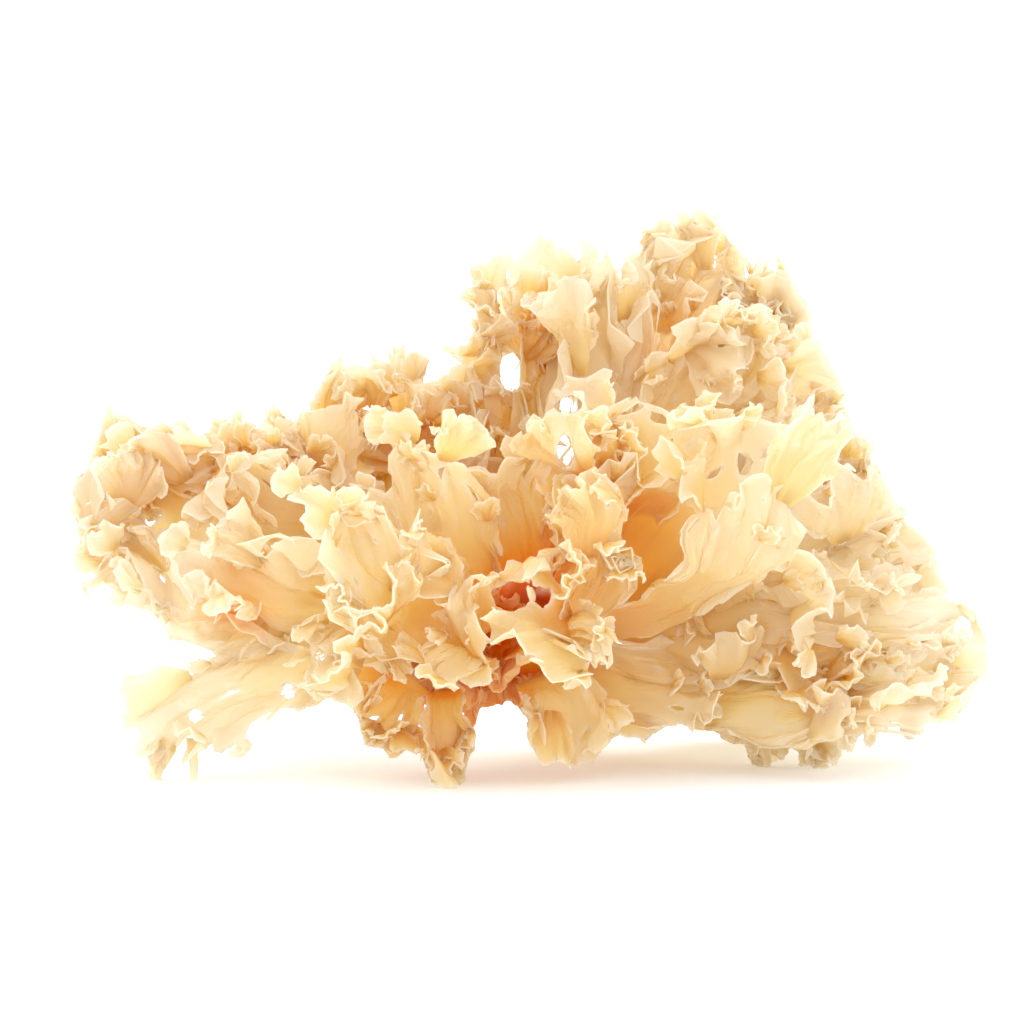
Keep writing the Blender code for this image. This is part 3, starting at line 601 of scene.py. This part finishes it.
def curled(place, front, outward, across, spec, length, amount):
    """The rim rolled forwards or back, each stretch of it by its own amount."""
    stretch = np.stack([across * spec["waves"], outward], -1) * CURL_CELLS + CURL_SHIFT
    turn = amount * (CURL_LEAN + CURL_UNEVENNESS * noise(stretch, [spec["seed"], 30]))
    band = CURL_SHARE * length
    past = np.clip((outward - 1 + CURL_SHARE) / CURL_SHARE, 0, 1) * band
    rate = turn * CURL_TURN / band
    rate = np.where(np.abs(rate) < LEAST_CURL, LEAST_CURL, rate)
    normal, _, out = frame_of(place, front)
    place = place + out * (np.sin(rate * past) / rate - past)[..., None]
    return place + normal * ((1 - np.cos(rate * past)) / rate)[..., None]


def crumpled(place, front, outward, across, spec, length, arc, amount):
    """The sheet with the creases of dried tissue, dragged aside by them, and faint streaks out
    from the root."""
    seed = spec["seed"]
    normal, over, out = frame_of(place, front)
    rise, slip, slide = np.zeros((3, *outward.shape))
    for k, (cell, height, aside) in enumerate(CREASES):
        bump = noise(place / cell + CREASE_SHIFT * k, [seed, 40 + k])
        if k >= SWELLS:
            bump = CREASE_LEVEL - CREASE_DEPTH * np.abs(bump)
        rise += height * bump
        if aside:
            slip += aside * noise(place / cell + SLIP_SHIFT, [seed, 80 + k])
            slide += aside * noise(place / cell + SLIDE_SHIFT, [seed, 90 + k])
    streak = noise(np.stack([across * arc, outward * length], -1) / STREAK_CELL, [seed, 50])
    rise += STREAK_HEIGHT * streak * (1 - STREAK_FADE * outward)
    moved = normal * rise[..., None] + over * slip[..., None] + out * slide[..., None]
    return place + moved * (amount * np.clip(outward * CRUMPLE_RISE, 0, 1))[..., None]


def tissue_left(outward, across, length, arc, seed, lace):
    """Above 0 where there is tissue, in millimetres from its torn edge: teeth, bites and small holes."""
    flat = np.stack([across * arc, outward * length], -1)
    tooth = layered(flat, TEETH, seed, 60)
    rim = (1 - outward) * length - RIM_CUT * lace + RIM_FRAY * lace * tooth
    side = np.minimum(across, 1 - across) * arc * np.clip(outward * SIDE_WIDENING, SIDE_LEAST, 1)
    side = side - SIDE_CUT * lace + SIDE_FRAY * lace * tooth
    side = np.where(outward < SIDES_FROM, 1.0, side)
    hole = HOLE_LEVEL - HOLE_DEPTH * noise(flat / HOLE_CELL + HOLE_SHIFT, [seed, 63])
    hole = hole - HOLES_BY_RIM * lace * np.clip(2 * outward - 1, 0, 1)
    hole = np.where(outward < HOLES_FROM, 1.0, hole)
    return np.minimum(np.minimum(rim, side), HOLE_SLOPE * hole)


def grid_triangles(rows, spokes):
    """A grid's triangles, with their diagonals one way and the other by turns."""
    i, j = np.meshgrid(np.arange(rows - 1), np.arange(spokes - 1), indexing="ij")
    a = (i * spokes + j).ravel()
    b, c, d = a + 1, a + spokes + 1, a + spokes
    even = ((i + j) % 2 == 0).ravel()[:, None]
    one = np.where(even, np.stack([a, b, c], 1), np.stack([a, b, d], 1))
    two = np.where(even, np.stack([a, c, d], 1), np.stack([b, c, d], 1))
    return np.concatenate([one, two])


def turned(triangles, lead):
    """The same triangles, each started from its corner number lead."""
    return np.take_along_axis(triangles, (lead[:, None] + np.arange(3)) % 3, 1)


def torn(columns, triangles, left):
    """The sheet cut along the line where left is 0. Columns hold each point's values."""
    inside = left > 0
    count = inside[triangles].sum(1)
    one, two = triangles[count == 1], triangles[count == 2]
    one = turned(one, np.argmax(inside[one], axis=1))
    two = turned(two, np.argmin(inside[two], axis=1))
    ends = np.concatenate([one[:, [0, 1]], one[:, [0, 2]], two[:, [0, 1]], two[:, [0, 2]]])
    ends, index = np.unique(np.sort(ends, axis=1), axis=0, return_inverse=True)
    index = index.reshape(-1) + len(columns)
    before, after = left[ends[:, 0]], left[ends[:, 1]]
    share = np.clip(before / (before - after), *CUT_SHARES)[:, None]
    fresh = columns[ends[:, 0]] * (1 - share) + columns[ends[:, 1]] * share
    cuts = np.cumsum([len(one), len(one), len(two)])
    a, b, c, d = np.split(index, cuts)
    triangles = np.concatenate([
        triangles[count == 3], np.stack([one[:, 0], a, b], 1),
        np.stack([c, two[:, 1], two[:, 2]], 1), np.stack([c, two[:, 2], d], 1)])
    return np.concatenate([columns, fresh]), triangles


def rooted(out, triangles):
    """Drops the islands of tissue that don't reach the sheet's root."""
    label = np.arange(len(out))
    while True:
        low = label[triangles].min(1)
        fresh = label.copy()
        np.minimum.at(fresh, triangles.ravel(), np.repeat(low, 3))
        fresh = fresh[fresh]
        if (fresh == label).all():
            break
        label = fresh
    grown = np.zeros(len(out), bool)
    grown[label[triangles[out[triangles].min(1) < ROOT_REACH, 0]]] = True
    return triangles[grown[label[triangles[:, 0]]]]


def corner_normals(points, triangles):
    """Each point's normal, and the least cosine between it and the triangles round it."""
    edge = points[triangles[:, 1]] - points[triangles[:, 0]]
    flat = np.cross(edge, points[triangles[:, 2]] - points[triangles[:, 0]])
    total = np.zeros_like(points)
    for k in range(3):
        np.add.at(total, triangles[:, k], flat)
    normal = unit(total)
    flat = unit(flat)
    least = np.ones(len(points))
    for k in range(3):
        np.minimum.at(least, triangles[:, k], (flat * normal[triangles[:, k]]).sum(-1))
    return normal, least


def shell(points, triangles, thickness):
    """Both faces of the sheet and its closed edge, and which of its triangles bend gently enough
    to be shaded smooth. A sharp fold is made thinner."""
    normal, least = corner_normals(points, triangles)
    half = (thickness * np.clip((least - SHARP_COSINE) / COSINE_RANGE, THINNEST_SHARE, 1) / 2)[:, None]
    gentle = (least > GENTLE_COSINE)[triangles].all(1)
    count = len(points)
    both = np.concatenate([points + normal * half, points - normal * half])
    ends = np.concatenate([triangles[:, [0, 1]], triangles[:, [1, 2]], triangles[:, [2, 0]]])
    _, first, number = np.unique(np.sort(ends, axis=1), axis=0, return_index=True, return_counts=True)
    a, b = ends[first[number == 1]].T
    walls = np.concatenate([np.stack([b, a, a + count], 1), np.stack([b, a + count, b + count], 1)])
    smooth = np.concatenate([gentle, gentle, np.zeros(len(walls), bool)])
    return both, np.concatenate([triangles, triangles[:, ::-1] + count, walls]), smooth


def length_of(spine):
    steps = np.diff(bezier(spine, np.linspace(0, 1, LENGTH_STEPS))[0], axis=0)
    return np.linalg.norm(steps, axis=1).sum()


def sheet(spec, rows, spokes, root, billow=BILLOW_HEIGHT, crumple=1.0, curl=CURL, clefts=2, fine=0.07):
    """A frond's middle surface as a grid, with everything that its shell is made from."""
    length = length_of(spec["spine"])
    outward = np.linspace(0, 1, rows) ** ROW_CROWDING
    outward, across = np.meshgrid(outward, np.linspace(0, 1, spokes), indexing="ij")
    place, front = spread_out(spec, outward, across, outline(across, spec["seed"], clefts, fine), root)
    arc = np.linalg.norm(np.diff(place[-1], axis=0), axis=1).sum()
    place = billowed(place, front, outward, spec["seed"], billow)
    place = ruffled(place, front, outward, across, spec, arc)
    place = curled(place, front, outward, across, spec, length, curl)
    place = crumpled(place, front, outward, across, spec, length, arc, crumple)
    return dict(place=place, front=front, outward=outward, across=across, length=length, arc=arc,
                spec=spec)


def main_sheet(name, spec):
    """A frond's own sheet. Those on the far side are made of larger triangles."""
    cell = FAR_CELL if name.startswith(("back", "far")) else CELL
    rows = int(np.clip(length_of(spec["spine"]) / (ROW_STRETCH * cell), *MAIN_ROWS))
    spokes = int(np.clip(2 * spec["half"] * ARC_PER_WIDTH / cell, *MAIN_SPOKES))
    return sheet(spec, rows, spokes, root=max(ROOT_HALF_WIDTH, ROOT_SHARE * spec["half"]))


def closed_sheet(made, lace):
    """The sheet with its torn edge, as a thin closed shell, and each point's tints and painted rim
    highlight.
    Notes which of the grid's points are left."""
    place, outward, across = made["place"], made["outward"], made["across"]
    left = tissue_left(outward, across, made["length"], made["arc"], made["spec"]["seed"], lace)
    left = np.minimum(left, room_at(place)).ravel()
    columns = np.concatenate([place.reshape(-1, 3), outward.reshape(-1, 1), left[:, None]], 1)
    columns, triangles = torn(columns, grid_triangles(*outward.shape), left)
    triangles = rooted(columns[:, 3], triangles)
    made["kept"] = np.isin(np.arange(outward.size), triangles).reshape(outward.shape)
    if len(triangles) < FEWEST_TRIANGLES:
        return None
    used, triangles = np.unique(triangles, return_inverse=True)
    columns, triangles = columns[used], triangles.reshape(-1, 3)
    points, out, depth = columns[:, :3], columns[:, 3], np.clip(columns[:, 4], 0, DEEPEST)
    thickness = RIM_THICKNESS + (MIDDLE_THICKNESS - RIM_THICKNESS) * (1 - out)
    thickness = thickness + LIP_THICKENING * np.exp(-(depth / LIP_WIDTH) ** 2)
    both, faces, smooth = shell(points, triangles, thickness)
    both[:, 2] = np.maximum(both[:, 2], FLOOR_CLEARANCE / 2)
    # Painted highlight: the torn rim paler, where light catches the thin edge.
    rim = RIM_HIGHLIGHT * np.exp(-np.tile(depth, 2) / RIM_HIGHLIGHT_WIDTH)
    return both, faces, smooth, rim, np.tile(out, 2)


def past_oval(seen, middle, height, half_wide, half_high):
    """How far each place is outside an oval, as the viewer sees it."""
    off = np.hypot((seen[..., 0] - middle) / half_wide, (seen[..., 1] - height) / half_high)
    return (off - 1) * min(half_wide, half_high)


def room_at(place):
    """How far each place is inside the clump's ragged outline and gaps, its box and the floor."""
    share = -EYE[1] / (place[..., 1] - EYE[1])
    across = EYE[0] + (place[..., 0] - EYE[0]) * share
    up = EYE[2] + (place[..., 2] - EYE[2]) * share
    seen = np.stack([across, up], -1)
    rough = layered(place, TISSUE_ROUGHNESS, ROUGH_SEED, 1)
    rough = layered(seen, VIEW_ROUGHNESS, ROUGH_SEED, 3, rough)
    top = np.interp(across, *np.array(TOP_OUTLINE).T) + TOP_ROOM - up
    low = up - np.interp(across, *np.array(LOW_OUTLINE).T) + LOW_ROOM
    room = np.minimum(top, low) + rough
    for oval in GAPS:
        room = np.minimum(room, past_oval(seen, *oval) + GAP_ROUGHNESS * rough)
    for *oval, depth, side in POCKETS:
        beyond = np.maximum(past_oval(seen, *oval), side * (place[..., 1] - depth))
        room = np.minimum(room, beyond + POCKET_ROUGHNESS * rough)
    least, most = np.array(CAD_BOX) / MM - MIDDLE_TO_ORIGIN
    room = np.minimum(room, (place - (least - BOX_SLACK))[..., :2].min(-1))
    room = np.minimum(room, (most + BOX_SLACK - place).min(-1))
    return np.minimum(room, place[..., 2] - FLOOR_CLEARANCE)


def sprouts(made, rng, count, lengths, grid, spread=RIM_SPREAD):
    """Small curled fronds that stand on a sheet, most of them near its rim."""
    place = made["place"]
    rows, spokes = made["outward"].shape
    normal, over, out = frame_of(place, made["front"])
    grown = []
    for _ in range(count):
        i = int(np.clip(rows * (SPROUTS_FROM - abs(rng.normal(0, spread))), rows * SPROUTS_TO, rows - 2))
        j = rng.integers(max(1, spokes // SPROUT_MARGIN), spokes - spokes // SPROUT_MARGIN)
        tilt, lean = rng.uniform(*SPROUT_TILT), rng.uniform(*SPROUT_LEAN) * rng.choice([-1, 1])
        if spread > RIM_SPREAD:
            lean = abs(lean)
        way = unit(out[i, j] * math.cos(lean) + normal[i, j] * math.sin(lean) + over[i, j] * tilt)
        small = small_sheet(rng, place[i, j], way, over[i, j], lengths, grid)
        if made["kept"][i, j]:
            grown.append(small)
    return grown


def small_sheet(rng, start, way, over, lengths, grid):
    """A small curled frond that grows from a place, in a direction, and is wide along another."""
    long = rng.uniform(*lengths)
    bow = unit(np.cross(way, over)) * rng.uniform(*SMALL_BOW) * long
    spine = [start + way * long * along + bow * bent for along, bent in SMALL_SPINE]
    face = unit(np.cross(way, over) + rng.normal(0, SMALL_TURN, 3))
    cup = rng.uniform(*SMALL_CUP) * rng.choice([-1, 1])
    spec = frond(spine, half=long * rng.uniform(*SMALL_HALF_WIDTH), spread=rng.uniform(*SMALL_SPREAD),
                 face=face, cup=cup, waves=rng.uniform(*SMALL_WAVES), ruffle=long * SMALL_RUFFLE,
                 seed=int(rng.integers(1, 1 << 30)))
    return sheet(spec, *grid, root=SMALL_ROOT * long, billow=SMALL_BILLOW * long,
                 crumple=SMALL_CRUMPLE * long, curl=1.0, clefts=1)


def fringe(made, rng):
    """The shells of a sheet's small fronds: flaps and lobes with frills of their own, and frills."""
    share = made["spec"]["frills"] * min(1, made["length"] / FRILLED_LENGTH)
    if made["spec"]["frills"] < SMOOTH_BELOW:
        flaps = sprouts(made, rng, 1, BROAD_FLAP_LENGTH, FLAP_GRID, FLAP_SPREAD)
    else:
        flaps = sprouts(made, rng, round(made["arc"] / FLAP_SPACING), FLAP_LENGTH, FLAP_GRID, FLAP_SPREAD)
    lobes = flaps + sprouts(made, rng, round(share * made["arc"] / LOBE_SPACING), LOBE_LENGTH, LOBE_GRID)
    frills = sprouts(made, rng, round(share * made["arc"] / FRILL_SPACING) + 2, FRILL_LENGTH, FRILL_GRID)
    shells = []
    for lobe in lobes:
        shells.append(closed_sheet(lobe, min(1, lobe["length"] / LACY_LENGTH)))
        frills += sprouts(lobe, rng, FRILLS_ON_LOBE, FRILL_LENGTH, FRILL_GRID)
    return shells + [closed_sheet(frill, frill["length"] / LACY_LENGTH) for frill in frills]


def legs(name):
    """The shells of the thin strips that a frond stands on."""
    shells = []
    for number, (top, foot) in enumerate(LEGS.get(name, ())):
        top, foot = np.array(top), np.array(foot)
        spine = [top, top * (1 - LEG_KNEE) + foot * LEG_KNEE,
                 top * LEG_KNEE + foot * (1 - LEG_KNEE) + LEG_BEND, foot]
        spec = frond(spine, half=LEG_HALF_WIDTH, spread=25, face=(0, -1, 0), cup=0.5, waves=1,
                     ruffle=0.15, seed=LEG_SEED + number)
        made = sheet(spec, *LEG_GRID, LEG_HALF_WIDTH, billow=0, crumple=0.15, curl=0.1, clefts=0, fine=0)
        shells.append(closed_sheet(made, LEG_LACE))
    return shells


def mesh_piece(name, shells, material, low, crowd):
    """One mesh of several closed shells, with its tints, painted shade and painted highlight stored at its
    points.
    """
    points, faces, smooths, rims, outs = zip(*shells)
    starts = np.cumsum([0] + [len(own) for own in points])
    faces = np.concatenate([own + start for own, start in zip(faces, starts)])
    points = np.concatenate(points)
    mesh = bpy.data.meshes.new(name)
    mesh.from_pydata(((points + MIDDLE_TO_ORIGIN) * MM).tolist(), [], faces.tolist())
    mesh.polygons.foreach_set("use_smooth", np.concatenate(smooths))
    normals = corner_normals(points, faces)[0]
    crowds = crowd_at(points + CROWD_LOOK * normals, low, crowd)
    out = np.concatenate(outs)
    # Painted shade where the tissue is crowded, and amber with painted shade at each sheet's root.
    amber_and_shade = amber_and_shade_of(points, crowds) + ROOT_AMBER_AND_SHADE * (1 - out) ** ROOT_FADE
    tints = {"rim": np.concatenate(rims), "core_brown_and_shade": core_brown_and_shade_of(points), "amber_and_shade": amber_and_shade, "out": out}
    for label, values in tints.items():
        mesh.attributes.new(label, "FLOAT", "POINT").data.foreach_set("value", values.astype(np.float32))
    mesh.update()
    mesh.validate()
    made = bpy.data.objects.new(name, mesh)
    bpy.context.scene.collection.objects.link(made)
    mesh.materials.append(material)
    return made


def core_brown_and_shade_of(points):
    """How close each point is to the red-brown core or to a recess with painted shade, from 0 to 1."""
    most = np.zeros(len(points))
    for centre, reach, amount in CORE_BROWN_AND_SHADE_SPOTS:
        near = 1 - np.linalg.norm(points - np.array(centre), axis=1) / reach
        most = np.maximum(most, amount * np.clip(near, 0, 1))
    return most


def amber_and_shade_of(points, crowds):
    """How amber and shaded each point is, from 0 to 1: amber towards the clump's heart, partly its own
    colour and partly painted shade, and painted shade where it is crowded.
    """
    near = 1 - np.linalg.norm(points - np.array(HEART_OF_CLUMP), axis=1) / PALE_AT
    return NEAR_AMBER_AND_SHADE * np.clip(near, 0, 1) + CROWD_SHADE * np.clip(crowds - CROWD_FROM, 0, 1)


def colours(material, factor, steps):
    """A colour between these places' colours, by a factor from another node."""
    ramp = material.node_tree.nodes.new("ShaderNodeValToRGB")
    for _ in steps[2:]:
        ramp.color_ramp.elements.new(1.0)
    for element, (position, colour) in zip(ramp.color_ramp.elements, steps):
        element.position = position
        element.color = (*colour, 1)
    material.node_tree.links.new(factor, ramp.inputs[0])
    return ramp.outputs[0]


def stored(material, label):
    """The tint of this name that the mesh stores at its points."""
    tint = material.node_tree.nodes.new("ShaderNodeAttribute")
    tint.attribute_name = label
    return tint.outputs["Fac"]


def tissue(name, roughness, share_through):
    """A material with its own nodes, for thin dried tissue that lets a share of the light through."""
    material = bpy.data.materials.new(name)
    material.use_nodes = True
    nodes, links = material.node_tree.nodes, material.node_tree.links
    nodes["Principled BSDF"].inputs["Roughness"].default_value = roughness
    both = nodes.new("ShaderNodeMixShader")
    both.inputs[0].default_value = share_through
    links.new(nodes["Principled BSDF"].outputs[0], both.inputs[1])
    links.new(nodes.new("ShaderNodeBsdfTranslucent").outputs[0], both.inputs[2])
    links.new(both.outputs[0], nodes["Material Output"].inputs[0])
    return material


def rimmed(material, factor, colour, pale):
    """Colours both the tissue's surface and what shines through it, paler by a factor."""
    nodes, links = material.node_tree.nodes, material.node_tree.links
    mixed = nodes.new("ShaderNodeMix")
    mixed.data_type = "RGBA"
    links.new(factor, mixed.inputs["Factor"])
    links.new(colour, mixed.inputs["A"])
    mixed.inputs["B"].default_value = pale
    links.new(mixed.outputs["Result"], nodes["Principled BSDF"].inputs["Base Color"])
    links.new(mixed.outputs["Result"], nodes["Translucent BSDF"].inputs["Color"])


def frond_tissue():
    """The fronds' tissue: amber towards the clump's heart, partly its own colour and partly painted shade,
    with painted shade where it is crowded and at each sheet's root, red-brown round the core with painted
    shade in recesses, and a painted highlight along its torn rim.
    """
    material = tissue("frond_tissue_look", roughness=0.45, share_through=0.72)
    nodes, links = material.node_tree.nodes, material.node_tree.links
    # Amber colour with painted shade, multiplied by the core's red-brown and by the painted shade in
    # recesses.
    amber_and_shaded = nodes.new("ShaderNodeMix")
    amber_and_shaded.data_type = "RGBA"
    amber_and_shaded.blend_type = "MULTIPLY"
    amber_and_shaded.inputs["Factor"].default_value = 1.0
    links.new(colours(material, stored(material, "amber_and_shade"), AMBER_AND_SHADE_COLOURS), amber_and_shaded.inputs["A"])
    links.new(colours(material, stored(material, "core_brown_and_shade"), CORE_BROWN_AND_SHADE_COLOURS), amber_and_shaded.inputs["B"])
    # Painted highlight: the tissue paler towards its torn rim.
    rimmed(material, stored(material, "rim"), amber_and_shaded.outputs["Result"], RIM_HIGHLIGHT_COLOUR)
    return material


def base_tissue():
    """The base's tissue: patches of burnt orange and red-brown, and small lobes with pale rims."""
    material = tissue("base_tissue_look", roughness=0.55, share_through=0.4)
    nodes, links = material.node_tree.nodes, material.node_tree.links
    nodes["Principled BSDF"].inputs["Specular IOR Level"].default_value = 0.12
    patches = nodes.new("ShaderNodeTexNoise")
    patches.inputs["Scale"].default_value = BASE_PATCH_SCALE
    patches.inputs["Detail"].default_value = 4.0
    links.new(nodes.new("ShaderNodeTexCoord").outputs["Object"], patches.inputs["Vector"])
    colour = colours(material, patches.outputs["Fac"], BASE_PATCHES)
    rimmed(material, stored(material, "out"), colour, BASE_PALE)
    return material


def base_shells():
    """The tough base, its surface folded into tight creases, and the small lobes all over it."""
    ball = bmesh.new()
    bmesh.ops.create_icosphere(ball, subdivisions=BASE_DETAIL, radius=1)
    directions = unit(np.array([corner.co[:] for corner in ball.verts]))
    triangles = np.array([[corner.index for corner in face.verts] for face in ball.faces])
    ball.free()
    points = directions * BASE_RADII
    lumps = 1 + BASE_LUMP_HEIGHT * noise(points / BASE_LUMP_CELL + BASE_SEED, [BASE_SEED, 1])
    folds = 1.0
    for k, (cell, height) in enumerate(BASE_FOLDS, 2):
        folds = folds - height * np.abs(noise(points / cell, [BASE_SEED, k]))
    points = points * lumps[:, None] + directions * (BASE_FOLD_HEIGHT * folds)[:, None] + BASE_CENTRE
    plain = np.zeros(len(points))
    shells = [(points, triangles, np.ones(len(triangles), bool), plain, plain)]
    rng = np.random.default_rng(BASE_LOBE_SEED)
    for _ in range(BASE_LOBES):
        way = unit(rng.normal(0, 1, 3) + BASE_LOBES_TOWARD)
        over = unit(np.cross(way, rng.normal(0, 1, 3)))
        start = BASE_CENTRE + way * BASE_RADII * BASE_LOBE_DEPTH
        lobe = small_sheet(rng, start, way, over, BASE_LOBE_LENGTH, FRILL_GRID)
        shells.append(closed_sheet(lobe, BASE_LOBE_LACE))
    return [one for one in shells if one]


def crowding(points):
    """How much tissue there is around each cell of a grid over the clump, smoothed."""
    low = points.min(0) - CROWD_MARGIN
    shape = np.ceil((points.max(0) + CROWD_MARGIN - low) / CROWD_CELL).astype(int) + 1
    index = np.round((points - low) / CROWD_CELL).astype(int)
    count = np.zeros(shape)
    np.add.at(count, tuple(index.T), 1.0)
    for _ in range(CROWD_BLURS):
        for axis in range(3):
            count = (np.roll(count, 1, axis) + count + np.roll(count, -1, axis)) / 3
    return low, count


def crowd_at(places, low, count):
    """The crowding at each place, between the grid's cells."""
    at = np.clip((places - low) / CROWD_CELL, 0, np.array(count.shape) - 1 - TINY)
    cell = np.floor(at).astype(int)
    share = at - cell
    total = np.zeros(len(places))
    for corner in range(8):
        step = np.array([(corner >> k) & 1 for k in range(3)])
        weight = np.prod(np.where(step, share, 1 - share), axis=1)
        total += weight * count[tuple((cell + step).T)]
    return total


def grow():
    """Every piece of the clump, each on its solid's body and in its place."""
    look = frond_tissue()
    shells = {}
    for name, spec in FRONDS.items():
        made = main_sheet(name, spec)
        rng = np.random.default_rng([spec["seed"], 70])
        own = [closed_sheet(made, spec["lace"])]
        own += fringe(made, rng) + legs(name)
        shells[name] = [one for one in own if one]
    low, count = crowding(np.concatenate([one[0] for own in shells.values() for one in own]))
    crowd = count / np.percentile(count[count > CROWD_LEAST], CROWD_PERCENTILE)
    for name, own in shells.items():
        piece = mesh_piece(name + "_tissue", own, look, low, crowd)
        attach(piece, "root")
        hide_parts(name + "_frond")
    base = mesh_piece("base_tissue", base_shells(), base_tissue(), low, crowd)
    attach(base, "root")
    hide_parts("base")


def soft_light():
    """White light from all round, stronger from a broad patch above and behind, to the left."""
    world = bpy.data.worlds.new("white_world")
    world.use_nodes = True
    nodes, links = world.node_tree.nodes, world.node_tree.links
    coordinate = nodes.new("ShaderNodeTexCoord")
    toward = nodes.new("ShaderNodeVectorMath")
    toward.operation = "DOT_PRODUCT"
    toward.inputs[1].default_value = unit(np.array(LIGHT_TOWARD, float))
    links.new(coordinate.outputs["Generated"], toward.inputs[0])
    strength = nodes.new("ShaderNodeMapRange")
    strength.interpolation_type = "SMOOTHSTEP"
    strength.inputs["From Min"].default_value = LIGHT_REACH
    strength.inputs["From Max"].default_value = 1.0
    strength.inputs["To Min"].default_value = LEAST_LIGHT
    strength.inputs["To Max"].default_value = MOST_LIGHT
    links.new(toward.outputs["Value"], strength.inputs["Value"])
    links.new(strength.outputs["Result"], nodes["Background"].inputs["Strength"])
    nodes["Background"].inputs["Color"].default_value = (1, 1, 1, 1)
    world.cycles.sampling_method = "NONE"
    return world


def stage():
    """A plain white floor and world, soft light, and the camera at the photo's angle."""
    scene = bpy.context.scene
    scene.world = soft_light()
    bpy.ops.mesh.primitive_plane_add(size=FLOOR_SIZE)
    floor = bpy.context.object
    floor.name = "floor"
    paint = bpy.data.materials.new("floor_white")
    paint.use_nodes = True
    shader = paint.node_tree.nodes["Principled BSDF"]
    shader.inputs["Base Color"].default_value = FLOOR_COLOUR
    shader.inputs["Roughness"].default_value = 0.35
    shader.inputs["Specular IOR Level"].default_value = 0.0
    shader.inputs["Emission Color"].default_value = (1, 1, 1, 1)
    shader.inputs["Emission Strength"].default_value = FLOOR_GLOW
    floor.data.materials.append(paint)
    camera = bpy.data.objects.new("camera", bpy.data.cameras.new("camera"))
    camera.data.lens = CAMERA_LENS
    camera.location = CAMERA_PLACE
    camera.rotation_euler = (math.radians(CAMERA_TILT), 0, 0)
    scene.collection.objects.link(camera)
    scene.camera = camera
    scene.view_settings.view_transform = "Standard"
    scene.view_settings.gamma = VIEW_GAMMA
    scene.cycles.diffuse_bounces = LIGHT_BOUNCES
    scene.cycles.transmission_bounces = LIGHT_BOUNCES
    scene.cycles.max_bounces = LIGHT_BOUNCES


grow()
stage()
